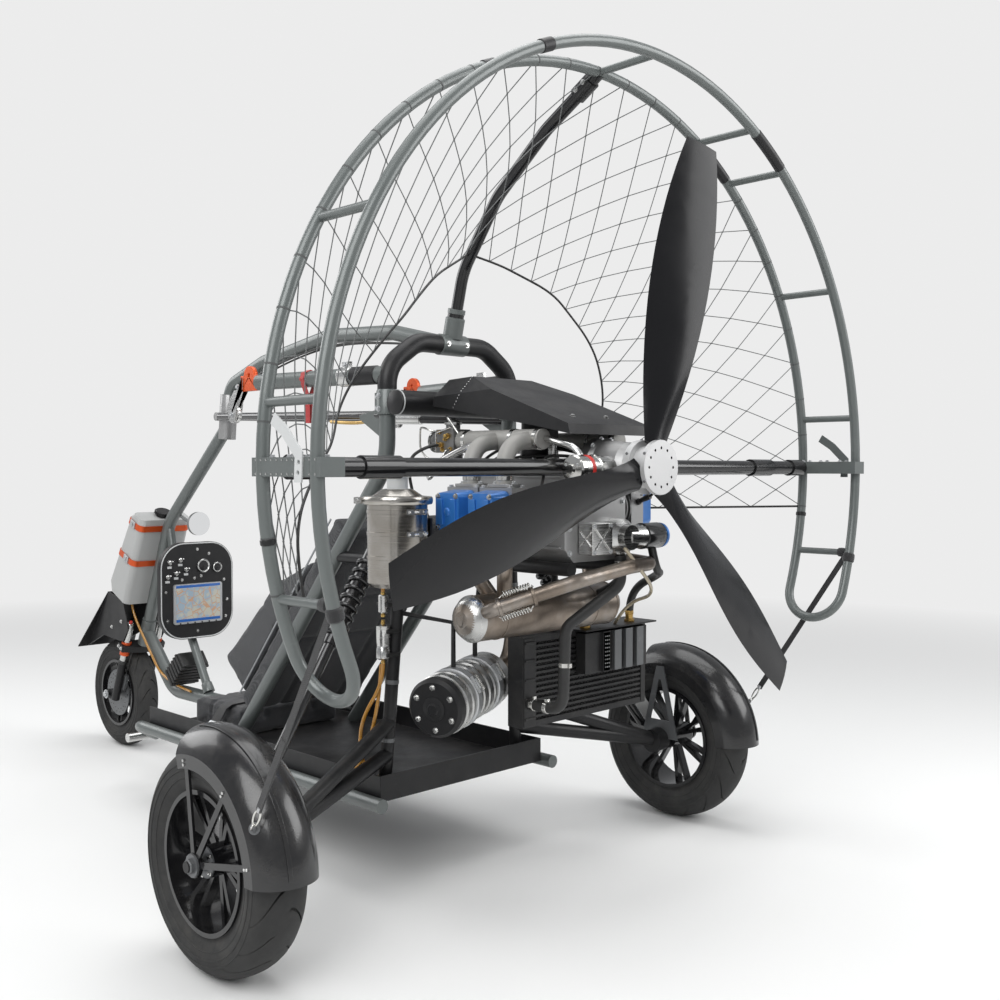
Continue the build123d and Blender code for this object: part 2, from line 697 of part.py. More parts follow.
bolster_low = back_low + back_thickness + seat_gap
bolster_outline = (  # down the slope, out from it
    (0.388 * slope_length, bolster_low), (0.56 * slope_length, 205), (0.903 * slope_length, 250),
    (0.912 * slope_length, 225), (0.912 * slope_length, bolster_low),
)
with BuildPart() as seat_bolsters:
    for side in SIDES:
        offset = side * (seat_half - bolster_width / 2) * seat_plane.z_dir.X
        with BuildSketch(seat_plane.offset(offset)) as section:
            with BuildLine():
                Polyline(*bolster_outline, close=True)
            make_face()
        extrude(section.sketch, amount=bolster_width / 2, both=True)
save(seat_bolsters.part, "seat_bolsters")

with BuildPart() as seat_base:
    block(at(0, wheelbase - 985, floor_top + base_thickness / 2), (2 * seat_half, base_length, base_thickness))
save(seat_base.part, "seat_base")

# Engine: case, gearbox, cylinders, heads and covers
with BuildPart() as crankcase:
    block(at(0, -(case_front + case_back) / 2, crank_height),
          (2 * case_half_width, case_back - case_front, case_height))
    chamfer(crankcase.edges().filter_by(Axis.Y), 30)
save(crankcase.part, "crankcase")

gear_back = hub_plate_back - hub_plate_thickness - blade_root_depth - 18
gear_radius = 70.0
gear_start = at(0, -case_back - seat_gap, hub_height)
gear_depth = gear_back - running_gap - case_back
gear_profile = ((0, gear_radius), (26, gear_radius), (36, 64), (gear_depth - 22, 58), (gear_depth, 46))
with BuildPart() as gearbox:
    turned(gear_start, -FORWARD, gear_profile)
    rod(gear_start - FORWARD * (gear_depth - 60), gear_start - FORWARD * (gear_depth + 10), 22 + seat_gap,
        mode=Mode.SUBTRACT)
save(gearbox.part, "gearbox")

cylinder_backs = ((-1, 165.0), (-1, 275.0), (1, 130.0), (1, 240.0))  # side, behind the rear axle
with BuildPart() as cylinders:
    for side, behind in cylinder_backs:
        for step in range(7):
            start = case_half_width + seat_gap + 14.2 * step
            fin = at(side * start, -behind, crank_height)
            rod(fin, fin + RIGHT * side * 9.2, cylinder_radius - 8)
            rod(fin + RIGHT * side * 9.2, fin + RIGHT * side * 14.2, cylinder_radius - 1)
save(cylinders.part, "cylinders")

with BuildPart() as cylinder_heads:
    for side, behind in cylinder_backs:
        low, high = cylinder_reach + 5, head_reach
        block(at(side * (low + high) / 2, -behind, crank_height), (high - low, 104, 112))
save(cylinder_heads.part, "cylinder_heads")

with BuildPart() as rocker_covers:
    for side, behind in cylinder_backs:
        head_face = at(side * (head_reach + seat_gap), -behind, crank_height)
        with BuildSketch(Plane(origin=head_face, x_dir=FORWARD, z_dir=RIGHT * side)) as section:
            RectangleRounded(92, 100, 18)
        extrude(section.sketch, amount=cover_reach - head_reach, taper=8)
save(rocker_covers.part, "rocker_covers")

log_x = 138.0
log_height = crank_height + 168.0
carb_back = 34.0
with BuildPart() as intake_runners:
    for side, behind in cylinder_backs:
        port = at(side * 228, -behind, crank_height + 56 + seat_gap)
        tube([port, port + UP * 95, at(side * log_x, -behind, log_height)], 20, bend=55)
    for side in SIDES:
        rod(at(side * log_x, -312, log_height), at(side * log_x, -carb_back, log_height), 24)
save(intake_runners.part, "intake_runners")

with BuildPart() as carburettors:
    for side in SIDES:
        body = at(side * log_x, -carb_back + seat_gap + 32, log_height)
        block(body, (56, 64, 58))
        rod(body - UP * 29, body - UP * 70, 24)
        rod(body + UP * 29, body + UP * 44, 18)
        rod(body + FORWARD * 32, body + FORWARD * 58, 25)
save(carburettors.part, "carburettors")

# Cover over the intake, on a pedestal that stands on the case
cover_outline = (  # ahead, above the crank
    (62, 258), (48, 326), (-40, 330), (-398, 202), (-404, 178), (-300, 198),
)
cover_half = 150.0
with BuildPart() as intake_cover:
    with BuildSketch(Plane(origin=at(0, 0, crank_height), x_dir=FORWARD, z_dir=RIGHT)) as section:
        with BuildLine():
            Polyline(*cover_outline, close=True)
        make_face()
    extrude(section.sketch, amount=cover_half, both=True)
    slopes = intake_cover.edges().filter_by(lambda edge: abs(edge.tangent_at(0.5).X) < 0.01)
    chamfer(slopes.group_by(Axis.Z)[-1], 44)
    case_top = crank_height + case_height / 2 + seat_gap
    rod(at(0, -170, case_top), at(0, -170, crank_height + 255), 46)
save(intake_cover.part, "intake_cover")

# Dry-sump oil tank on a bracket from the cradle
oil_tank_x = 400.0
oil_tank_back = 100.0
oil_tank_radius = 69.0
oil_tank_low = crank_height - 170
with BuildPart() as oil_tank:
    foot = at(-oil_tank_x, -oil_tank_back, oil_tank_low)
    turned(foot, UP, [(0, 60), (10, oil_tank_radius), (188, oil_tank_radius), (190, 78), (204, 78), (206, 60),
                      (222, 36), (224, 24), (252, 24), (252, 30), (264, 30), (270, 20)])
save(oil_tank.part, "oil_tank")

plate_x = oil_tank_x - oil_tank_radius - seat_gap - 3
with BuildPart() as oil_tank_bracket:
    block(at(-plate_x, -oil_tank_back, crank_height - 90), (6, 70, 150))
    tube([at(-plate_x, -oil_tank_back, bearer_height), at(-plate_x, 40, bearer_height),
          at(-cross_half + 20, cross_ahead, bearer_height)], 10, bend=40)
    rod(at(-300, cross_ahead, bearer_height), at(300, cross_ahead, bearer_height), cross_radius + seat_gap,
        mode=Mode.SUBTRACT)
    rod(foot - UP * 100, foot + UP * 180, oil_tank_radius + seat_gap,
        mode=Mode.SUBTRACT)
save(oil_tank_bracket.part, "oil_tank_bracket")

# Exhaust: headers into a collector across the back, and on to the silencer
collector_back = 205.0
collector_height = crank_height - 248
collector_radius = 54.0
header_radius = 18.0
crossing_run = (  # x, behind the rear axle, below the crank
    (150.0, 400.0, 132.0), (40.0, 425.0, 132.0), (-120.0, 400.0, 158.0), (-262.0, 280.0, 218.0),
)
silencer_radius = 74.0
silencer_cap = at(-290, -100, crank_height - 470)
silencer_end = at(-12, 0, crank_height - 442)
silencer_along = (silencer_end - silencer_cap).normalized()
with BuildPart() as exhaust:
    turned(at(-300, -collector_back, collector_height), RIGHT,
           [(0, 20), (10, 40), (30, collector_radius), (500, collector_radius), (526, 38), (534, 20)])
    for side, behind in cylinder_backs[:3]:
        port = at(side * 228, -behind, crank_height - 56 - seat_gap)
        tube([port, port - UP * 80, at(side * 160, -collector_back, collector_height)], header_radius, bend=45)
    side, behind = cylinder_backs[3]
    port = at(side * 228, -behind, crank_height - 56 - seat_gap)
    crossing = [at(x, -back, crank_height - drop) for x, back, drop in crossing_run]
    tube([port, port - UP * 76, *crossing, at(crossing_run[-1][0], -collector_back, collector_height)],
         header_radius - 1, bend=40)
    tail = silencer_end + silencer_along * 130
    tube([silencer_end + silencer_along * seat_gap, tail, at(125, 20, collector_height),
          at(125, -collector_back, collector_height)], 26, bend=55)
save(exhaust.part, "exhaust")

rib_count = 8
cap_depth = 28.0
with BuildPart() as silencer:
    length = (silencer_end - silencer_cap).length
    ribs = []
    for step in range(rib_count):
        start = 34 + (length - 60) * step / rib_count
        ribs += [(start, silencer_radius - 3), (start + 4, silencer_radius), (start + 9, silencer_radius),
                 (start + 13, silencer_radius - 3)]
    shell = silencer_radius - 3
    turned(silencer_cap, silencer_along, [(cap_depth, shell), *ribs, (length - 16, shell), (length, 40)])
save(silencer.part, "silencer")

with BuildPart() as silencer_cap_plate:
    edge = silencer_radius - 2
    turned(silencer_cap, silencer_along, [(0, edge - 8), (8, edge), (cap_depth - seat_gap, edge)])
save(silencer_cap_plate.part, "silencer_cap")

# Radiator with its core slots, the oil cooler and the shelf over them
radiator_left, radiator_right = -70.0, 410.0
radiator_low, radiator_high = crank_height - 540, crank_height - 315
radiator_back, radiator_front = 180.0, 128.0
tank_strip = 46.0
slot_count = 15
hanger_back = 139.0
with BuildPart() as radiator:
    middle = at((radiator_left + radiator_right) / 2, -(radiator_back + radiator_front) / 2,
                (radiator_low + radiator_high) / 2)
    core_depth = radiator_back - radiator_front
    block(middle, (radiator_right - radiator_left, core_depth, radiator_high - radiator_low))
    core_left = radiator_left + tank_strip
    core_width = radiator_right - 20 - core_left
    pitch = (radiator_high - radiator_low - 24) / slot_count
    for step in range(slot_count):
        slot_up = radiator_low + 12 + pitch * (step + 0.5)
        block(at(core_left + core_width / 2, -radiator_back, slot_up), (core_width, 24, pitch * 0.55),
              mode=Mode.SUBTRACT)
    for foot_x, top_x in ((bearer_x, bearer_x), (radiator_left + 16, -bearer_x)):
        rod(at(foot_x, -hanger_back, radiator_high - 2), at(top_x, -hanger_back, bearer_height), 9)
    for side in SIDES:
        rod(at(side * bearer_x, 0, bearer_height), at(side * bearer_x, -400, bearer_height),
            bearer_radius + seat_gap, mode=Mode.SUBTRACT)
    block(at(0, -hanger_back, bearer_height + 40), (400, 100, 80), mode=Mode.SUBTRACT)
save(radiator.part, "radiator")

cooler_ribs = 4
cooler_up = radiator_high - 59
with BuildPart() as oil_cooler:
    cooler_back = radiator_back + seat_gap
    block(at(250, -cooler_back - 16, cooler_up), (250, 32, 104))
    for step in range(cooler_ribs):
        block(at(200 + 46 * step, -cooler_back - 36, cooler_up), (28, 10, 104))
save(oil_cooler.part, "oil_cooler")

with BuildPart() as radiator_shelf:
    block(at(255, -172, radiator_high + seat_gap + 2), (290, 110, 4))
save(radiator_shelf.part, "radiator_shelf")

# Starter and water pump on the gear end
pump_up = crank_height - 65
with BuildPart() as engine_accessories:
    rod(at(0, -432, hub_height - 4), at(-168, -432, hub_height - 4), 31)
    clear_of_gears = [(along, radius + seat_gap) for along, radius in gear_profile]
    turned(gear_start, -FORWARD, clear_of_gears, mode=Mode.SUBTRACT)
    block(at(100, -432, hub_height), (200, 100, 100), mode=Mode.SUBTRACT)
    pump = at(62, -case_back - seat_gap, pump_up)
    turned(pump, -FORWARD, [(0, 44), (30, 44), (40, 32), (58, 30)])
    rod(pump - FORWARD * 32, pump - FORWARD * 32 + RIGHT * 140, 29)
save(engine_accessories.part, "engine_accessories")

hose_x = radiator_left + 22
hose_radius = 14.0
with BuildPart() as coolant_hose:
    hose_run = [
        at(hose_x, -radiator_back - seat_gap, radiator_low + 60),
        at(hose_x, -292, radiator_low + 60),
        at(hose_x, -300, radiator_high + 35),
        at(62, -378, pump_up - 115),
        at(62, -378, pump_up - 44 - seat_gap),
    ]
    tube(hose_run, hose_radius, bend=40)
save(coolant_hose.part, "coolant_hose")

# Propeller
with BuildPart() as prop_hub:
    plate_face = hub + FORWARD * hub_plate_thickness
    rod(hub, plate_face, hub_plate_radius)
    rod(plate_face, plate_face + FORWARD * (blade_root_depth + 2 * seat_gap), 48)
    flange = plate_face + FORWARD * (blade_root_depth + 2 * seat_gap)
    rod(flange, flange + FORWARD * (18 - 2 * seat_gap), hub_plate_radius)
    rod(flange, flange + FORWARD * 70, 22)
    with Locations(Plane(origin=hub, x_dir=RIGHT, z_dir=-FORWARD)):
        with PolarLocations(44, 12):
            Hole(3.2, depth=hub_plate_thickness - 2)
save(prop_hub.part, "prop_hub")

blade_angles = (76.0, 196.0, 316.0)
blade_sections = (  # radius, chord, thickness, pitch angle
    (54.0, 74.0, 34.0, 0.0),
    (190.0, 106.0, 26.0, 26.0),
    (440.0, 165.0, 17.0, 18.5),
    (640.0, 150.0, 11.0, 15.0),
    (blade_tip_radius, 96.0, 6.0, 11.0),
)
blade_plane = hub + FORWARD * (hub_plate_thickness + seat_gap + blade_root_depth / 2)
with BuildPart() as prop_blades:
    for angle in blade_angles:
        outward = RIGHT * cos(radians(angle)) + UP * sin(radians(angle))
        across = outward.cross(FORWARD)
        profiles = []
        for radius, chord, thickness, pitch in blade_sections:
            chordwise = across * cos(radians(pitch)) + FORWARD * sin(radians(pitch))
            station = blade_plane + outward * radius
            with BuildSketch(Plane(origin=station, x_dir=chordwise, z_dir=outward)) as lens:
                with BuildLine():
                    ThreePointArc((-chord / 2, 0), (0, thickness / 2), (chord / 2, 0))
                    ThreePointArc((chord / 2, 0), (0, -thickness / 2), (-chord / 2, 0))
                make_face()
            profiles.append(lens.sketch.face())
        loft(profiles)
save(prop_blades.part, "prop_blades")

# Cage: two hoops joined by bends at their ends, with rungs between them
hoop_rungs = (-15.0, 8.7, 31.5, 55.0, 65.0, 90.0, 150.0, 172.8, 195.0)
hoop_front = at(0, -front_hoop_back, hub_height)
hoop_rear = at(0, -rear_hoop_back, hub_height)
hoop_arc = 180.0 - 2 * hoop_end_angle


def on_hoop(centre, angle, radius=hoop_radius):
    """A place on a hoop, by its angle from the right."""
    return centre + RIGHT * radius * cos(radians(angle)) + UP * radius * sin(radians(angle))


with BuildPart() as cage_hoops:
    for centre in (hoop_front, hoop_rear):
        ring(centre, -FORWARD, on_hoop(centre, hoop_end_angle), hoop_tube_radius, hoop_arc)
    for angle in (hoop_end_angle, 180.0 - hoop_end_angle):
        outward = RIGHT * cos(radians(angle)) + UP * sin(radians(angle))
        bend_centre = (on_hoop(hoop_front, angle) + on_hoop(hoop_rear, angle)) * 0.5
        below = -1 if angle < 90 else 1
        ring(bend_centre, outward * below, on_hoop(hoop_front, angle), hoop_tube_radius, 180.0)
    for angle in hoop_rungs:
        rod(on_hoop(hoop_front, angle), on_hoop(hoop_rear, angle), hoop_tube_radius * 0.72)
save(cage_hoops.part, "cage_hoops")

# Clamp blocks that tie both hoops to the cage arms
bracket_skin = 3.0
block_inner = hoop_radius - 42.5
block_outer = hoop_radius + hoop_tube_radius - bracket_skin
bracket_line = (  # ahead, above the hub: one edge up, the other down
    (-475, -27), (-478, 16), (-440, 53), (-404, 76), (-416, 95), (-455, 70), (-500, 26), (-497, -27),
)
block_height = 34.0
with BuildPart() as cage_blocks:
    for side in SIDES:
        block(at(side * (block_inner + block_outer) / 2, -(front_hoop_back + rear_hoop_back) / 2, hub_height),
              (block_outer - block_inner, rear_hoop_back - front_hoop_back + 42, block_height))
    for centre in (hoop_front, hoop_rear):
        ring(centre, -FORWARD, on_hoop(centre, hoop_end_angle), hoop_tube_radius + seat_gap, hoop_arc,
             mode=Mode.SUBTRACT)
    for side in SIDES:
        block_face = at(side * block_outer, 0, hub_height)
        with BuildSketch(Plane(origin=block_face, x_dir=FORWARD, z_dir=RIGHT)) as section:
            with BuildLine():
                Polyline(*bracket_line, close=True)
            make_face()
            with Locations((-487, -10), (-489, 8)):
                Circle(4, mode=Mode.SUBTRACT)
        extrude(section.sketch, amount=bracket_skin, dir=RIGHT * side)
save(cage_blocks.part, "cage_blocks")

cage_arm_radius = 19.0
arm_back = case_back + cage_arm_radius + seat_gap
arm_sleeves = ((block_inner - 262, block_inner - 166), (block_inner - 64, block_inner - seat_gap))
sleeve_radius = 23.0
with BuildPart() as cage_arms:
    for side in SIDES:
        rod(at(0, -arm_back, hub_height), at(side * (block_inner - seat_gap), -arm_back, hub_height),
            cage_arm_radius)
        for start, end in arm_sleeves:
            rod(at(side * start, -arm_back, hub_height), at(side * end, -arm_back, hub_height), sleeve_radius)
    rod(at(0, 0, hub_height), at(0, -600, hub_height), gear_radius + seat_gap, mode=Mode.SUBTRACT)
save(cage_arms.part, "cage_arms")

hoop_top = hub_height + hoop_radius
mast_rise = hoop_top - arch_top
mast_radius = 16.0
with BuildPart() as cage_post:
    mast_run = [
        at(0, arch_ahead, arch_top),
        at(0, arch_ahead - 48, arch_top + 0.3175 * mast_rise),
        at(0, -20, arch_top + 0.61 * mast_rise),
        at(0, -190, arch_top + 0.8354 * mast_rise),
        at(0, -front_hoop_back, hoop_top),
    ]
    tube(mast_run, mast_radius, bend=0.3 * mast_rise)
    mast_up = (mast_run[1] - mast_run[0]).normalized()
    rod(mast_run[0], mast_run[0] + mast_up * 96, mast_radius + 6)
    mast_back = (mast_run[3] - mast_run[4]).normalized()
    rod(mast_run[4] + mast_back * 26, mast_run[4] + mast_back * 78, mast_radius + 5)
    rod(arch_run[2], arch_run[3], arch_radius + seat_gap, mode=Mode.SUBTRACT)
    block(at(0, arch_ahead, arch_top - 60), (120, 120, 120), mode=Mode.SUBTRACT)
    tube(spine_run, spine_radius + seat_gap, bend=spine_bend, mode=Mode.SUBTRACT)
    ring(hoop_front, -FORWARD, on_hoop(hoop_front, hoop_end_angle), hoop_tube_radius + seat_gap, hoop_arc,
         mode=Mode.SUBTRACT)
save(cage_post.part, "cage_post")
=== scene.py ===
"""Looks of the paramotor trike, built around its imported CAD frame.

The frame is +X right, +Y forward, +Z up, in metres. Places are written as at(x, ahead, up),
where ahead counts forward from the rear axle.
"""

from math import cos, degrees, pi, radians, sin

import bmesh
import bpy
from bpy.props import FloatProperty, FloatVectorProperty, IntProperty, PointerProperty
from mathutils import Matrix, Vector


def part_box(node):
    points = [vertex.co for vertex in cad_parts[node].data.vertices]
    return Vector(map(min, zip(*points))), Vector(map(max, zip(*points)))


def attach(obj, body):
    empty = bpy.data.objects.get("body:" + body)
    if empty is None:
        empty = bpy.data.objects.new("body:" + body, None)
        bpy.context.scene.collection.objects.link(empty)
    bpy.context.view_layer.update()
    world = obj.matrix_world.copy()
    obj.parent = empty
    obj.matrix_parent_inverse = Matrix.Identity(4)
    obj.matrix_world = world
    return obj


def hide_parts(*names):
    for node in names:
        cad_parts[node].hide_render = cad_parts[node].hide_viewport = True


bl_info = {
    "name": "Paramotor Trike",
    "version": (1, 0, 0),
    "blender": (4, 5, 0),
    "location": "View3D > Sidebar > Trike",
    "description": "Dresses the packed paramotor trike with its finishes, net, tyres, seat and engine fittings",
    "category": "Object",
}

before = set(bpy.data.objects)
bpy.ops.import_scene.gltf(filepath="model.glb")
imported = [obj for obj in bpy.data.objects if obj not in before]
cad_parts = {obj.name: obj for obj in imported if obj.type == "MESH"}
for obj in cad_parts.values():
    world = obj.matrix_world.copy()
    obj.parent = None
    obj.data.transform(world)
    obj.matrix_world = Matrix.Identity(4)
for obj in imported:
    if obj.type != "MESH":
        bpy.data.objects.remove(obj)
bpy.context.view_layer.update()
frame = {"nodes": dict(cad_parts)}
NODES = frame["nodes"]

AXLE_Y = -0.8495
HUB_UP = 1.072
HOOP_RADIUS = 0.9265
FRONT_HOOP = -0.36
REAR_HOOP = -0.5265
RIGHT = Vector((1, 0, 0))
FORWARD = Vector((0, 1, 0))
UP = Vector((0, 0, 1))
SIDES = (-1, 1)
MM = 0.001


def at(x, ahead, up):
    """A place, from distances right, ahead of the rear axle and above the ground."""
    return Vector((x, AXLE_Y + ahead, up))


def route(*points, side=1, start=None):
    """Places from (x, ahead, up) rows, mirrored by a side, from the rear axle or from a start."""
    if start is None:
        return [at(side * x, ahead, up) for x, ahead, up in points]
    return [start + Vector((side * x, ahead, up)) for x, ahead, up in points]


def turns(count, shift=0.0):
    """Angles of evenly spaced places around a circle."""
    return [2 * pi * (step + shift) / count for step in range(count)]


def circle(centre, radius, angles, side=FORWARD, other=UP):
    """Places around a circle in the plane of two directions."""
    return [centre + side * (radius * cos(angle)) + other * (radius * sin(angle)) for angle in angles]


# The wheels' hubs
REAR_X = 0.795
REAR_UP = 0.245
FRONT_HUB = at(0, 2.04, 0.205)


# Mesh and curve helpers


def add_piece(name, mesh, finish, body="chassis", smooth=True, bevel=0.0):
    """Object from a bmesh, riding on a body, with its edges rounded where a bevel is given."""
    data = bpy.data.meshes.new(name)
    mesh.to_mesh(data)
    mesh.free()
    if smooth:
        data.polygons.foreach_set("use_smooth", [True] * len(data.polygons))
        data.set_sharp_from_angle(angle=radians(38))
    piece = bpy.data.objects.new(name, data)
    bpy.context.scene.collection.objects.link(piece)
    data.materials.append(bpy.data.materials[finish])
    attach(piece, body)
    return bevelled(piece, bevel) if bevel else piece


def bevelled(piece, width, segments=2):
    """Rounded edges on a piece, as a modifier."""
    bevel = piece.modifiers.new("Rounded edges", "BEVEL")
    bevel.width = width
    bevel.segments = segments
    bevel.limit_method = "ANGLE"
    bevel.angle_limit = radians(35)
    bevel.harden_normals = True
    return piece


def add_spline(curve, points, smooth, closed=False):
    """Adds a line to a curve; a smooth one is a NURBS with the points as its control points."""
    spline = curve.splines.new("NURBS" if smooth else "POLY")
    spline.points.add(len(points) - 1)
    for point, place in zip(spline.points, points):
        point.co = (*place, 1.0)
    spline.use_cyclic_u = closed
    if smooth:
        spline.order_u = 3
        spline.use_endpoint_u = not closed
    spline.use_smooth = True


def line_piece(name, lines, radius, finish, body="chassis", closed=False, smooth=False, sides=3):
    """Round bars or hoses along point lists, straight between the points or smooth."""
    curve = bpy.data.curves.new(name, "CURVE")
    curve.dimensions = "3D"
    curve.bevel_depth = radius
    curve.bevel_resolution = sides
    curve.use_fill_caps = True
    curve.resolution_u = 10
    for points in lines:
        add_spline(curve, points, smooth, closed)
    curve.materials.append(bpy.data.materials[finish])
    piece = bpy.data.objects.new(name, curve)
    bpy.context.scene.collection.objects.link(piece)
    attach(piece, body)
    return piece


def square_to(axis):
    """Two unit vectors square to an axis."""
    axis = axis.normalized()
    side = (RIGHT if abs(axis.x) < 0.8 else FORWARD).cross(axis).normalized()
    return side, axis.cross(side)


def add_turned(mesh, centre, axis, profile, steps=32):
    """Adds a solid of revolution to a bmesh, from (along, radius) corners in millimetres."""
    axis = axis.normalized()
    side, other = square_to(axis)
    rings = []
    for along, radius in profile:
        ring = []
        for step in range(steps):
            angle = 2 * pi * step / steps
            spoke = side * cos(angle) + other * sin(angle)
            ring.append(mesh.verts.new(centre + axis * (along * MM) + spoke * (radius * MM)))
        rings.append(ring)
    for low, high in zip(rings, rings[1:]):
        for step in range(steps):
            after = (step + 1) % steps
            mesh.faces.new((low[step], low[after], high[after], high[step]))
    mesh.faces.new(list(reversed(rings[0])))
    mesh.faces.new(rings[-1])


def add_box(mesh, centre, size, axes=(RIGHT, FORWARD, UP)):
    """Adds a box to a bmesh, square to the given axes."""
    corners = {}
    for i in SIDES:
        for j in SIDES:
            for k in SIDES:
                offset = axes[0] * (i * size[0] / 2) + axes[1] * (j * size[1] / 2) + axes[2] * (k * size[2] / 2)
                corners[i, j, k] = mesh.verts.new(centre + offset)
    faces = []
    for i in SIDES:
        faces.append([corners[i, -1, -1], corners[i, 1, -1], corners[i, 1, 1], corners[i, -1, 1]])
        faces.append([corners[-1, i, -1], corners[1, i, -1], corners[1, i, 1], corners[-1, i, 1]])
        faces.append([corners[-1, -1, i], corners[1, -1, i], corners[1, 1, i], corners[-1, 1, i]])
    made = [mesh.faces.new(face) for face in faces]
    bmesh.ops.recalc_face_normals(mesh, faces=made)


def collar(long, low, high, edge=1, start=0):
    """Profile of a band around a tube in millimetres: low radius at its ends, high radius between its edges."""
    return [(start, low), (start + edge, high), (start + long - edge, high), (start + long, low)]


def turned_piece(name, finish, rows, steps=32, body="chassis", smooth=True):
    """Piece of solids of revolution, from (centre, axis, profile) rows."""
    mesh = bmesh.new()
    for centre, axis, profile in rows:
        add_turned(mesh, centre, axis, profile, steps)
    return add_piece(name, mesh, finish, body, smooth)


def boxes_piece(name, finish, rows, edge, segments=2):
    """Piece of boxes with rounded edges, from (centre, size) or (centre, size, axes) rows."""
    mesh = bmesh.new()
    for row in rows:
        add_box(mesh, *row)
    return bevelled(add_piece(name, mesh, finish), edge, segments)


def add_ribs(mesh, centre, count, radius, size, axes):
    """Adds grip ribs to a bmesh, around the last of three axes."""
    for spoke in circle(Vector(), 1.0, turns(count), axes[0], axes[1]):
        add_box(mesh, centre + spoke * radius, size, (spoke, axes[2].cross(spoke), axes[2]))


def add_plate(mesh, outline, thickness, plane):
    """Adds a flat plate to a bmesh from corners in millimetres on a plane given as (origin, across, along)."""
    origin, across, along = plane
    normal = across.cross(along).normalized() * thickness
    low = [mesh.verts.new(origin + across * (u * MM) + along * (v * MM)) for u, v in outline]
    high = [mesh.verts.new(vert.co + normal) for vert in low]
    made = [mesh.faces.new(list(reversed(low))), mesh.faces.new(high)]
    for step in range(len(low)):
        after = (step + 1) % len(low)
        made.append(mesh.faces.new((low[step], low[after], high[after], high[step])))
    bmesh.ops.recalc_face_normals(mesh, faces=made)


def bolts_piece(name, places, radius, finish, body="chassis", height=None, washer=True):
    """Hex bolts with washers, from (place, outward direction) pairs; radius and height are in millimetres."""
    mesh = bmesh.new()
    height = height or radius * 1.1
    for place, outward in places:
        if washer:
            add_turned(mesh, place, outward, [(-0.5, radius * 1.5), (radius * 0.25, radius * 1.5)], 14)
        low, high = (radius * 0.25 if washer else -0.5), height
        add_turned(mesh, place, outward, [(low, radius), (high - radius * 0.15, radius), (high, radius * 0.85)], 6)
    return add_piece(name, mesh, finish, body, smooth=False)


def ribbon(mesh, places, normals, width, thickness):
    """Adds a flat strap to a bmesh, along places with their face normals."""
    rows = []
    for index, (place, normal) in enumerate(zip(places, normals)):
        before = places[max(index - 1, 0)]
        after = places[min(index + 1, len(places) - 1)]
        across = (after - before).cross(normal).normalized() * (width / 2)
        lift = normal.normalized() * thickness
        rows.append([mesh.verts.new(place - across), mesh.verts.new(place + across),
                     mesh.verts.new(place + across + lift), mesh.verts.new(place - across + lift)])
    made = [mesh.faces.new(rows[0]), mesh.faces.new(list(reversed(rows[-1])))]
    for low, high in zip(rows, rows[1:]):
        for step in range(4):
            after = (step + 1) % 4
            made.append(mesh.faces.new((low[step], low[after], high[after], high[step])))
    bmesh.ops.recalc_face_normals(mesh, faces=made)


def tint(node, finish, test):
    """Gives those faces of a CAD node that pass a test a finish of their own."""
    mesh = NODES[node].data
    mesh.materials.append(bpy.data.materials[finish])
    for face in mesh.polygons:
        if test(face):
            face.material_index = len(mesh.materials) - 1


def rounded_outline(width, height, radius, steps=6):
    """Corners of a rectangle with rounded corners, about its middle."""
    outline = []
    for corner, (i, j) in enumerate(((1, 1), (-1, 1), (-1, -1), (1, -1))):
        for step in range(steps + 1):
            turn = pi / 2 * (corner + step / steps)
            outline.append((i * (width / 2 - radius) + radius * cos(turn),
                            j * (height / 2 - radius) + radius * sin(turn)))
    return outline


def coil_line(start, end, radius, coils, steps=12):
    """Places along a coil spring between two points."""
    axis = end - start
    side, other = square_to(axis)
    places = []
    for step in range(coils * steps + 1):
        turn = 2 * pi * step / steps
        places.append(start + axis * (step / (coils * steps))
                      + side * (radius * cos(turn)) + other * (radius * sin(turn)))
    return places


# Shared shader effects, as node groups

FLOAT, COLOUR, VECTOR = "NodeSocketFloat", "NodeSocketColor", "NodeSocketVector"


def feed(tree, value, socket):
    """Links an output to an input, or sets the input to a number or a colour."""
    if isinstance(value, bpy.types.NodeSocket):
        tree.links.new(value, socket)
    elif socket.type == "RGBA":
        socket.default_value = (*value[:3], 1.0)
    else:
        socket.default_value = value


def set_inputs(tree, node, **values):
    """Feeds a node's named inputs (spaces written as underscores)."""
    for label, value in values.items():
        feed(tree, value, node.inputs[label.replace("_", " ")])


def object_place(tree):
    """Object coordinates in a shader."""
    return tree.nodes.new("ShaderNodeTexCoord").outputs["Object"]


def start_group(name, inputs, outputs):
    """Empty shader group with its sockets, and its two ends."""
    group = bpy.data.node_groups.new(name, "ShaderNodeTree")
    for label, kind, default in inputs:
        socket = group.interface.new_socket(name=label, in_out="INPUT", socket_type=kind)
        socket.default_value = default
    for label, kind in outputs:
        group.interface.new_socket(name=label, in_out="OUTPUT", socket_type=kind)
    return group, group.nodes.new("NodeGroupInput"), group.nodes.new("NodeGroupOutput")


def noise_node(tree, coordinates, scale, detail=4.0, roughness=0.55):
    """Noise texture on the given coordinates; scale is a number or a socket."""
    noise = tree.nodes.new("ShaderNodeTexNoise")
    set_inputs(tree, noise, Vector=coordinates, Scale=scale, Detail=detail, Roughness=roughness)
    return noise.outputs["Fac"]


def spread(tree, value, low, high, to_low=0.0, to_high=1.0):
    """Map Range between two values."""
    mapped = tree.nodes.new("ShaderNodeMapRange")
    set_inputs(tree, mapped, Value=value, From_Min=low, From_Max=high, To_Min=to_low, To_Max=to_high)
    return mapped.outputs["Result"]


def arithmetic(tree, operation, first, second):
    """Math node on two values or sockets."""
    node = tree.nodes.new("ShaderNodeMath")
    node.operation = operation
    for socket, value in zip(node.inputs, (first, second)):
        feed(tree, value, socket)
    return node.outputs[0]


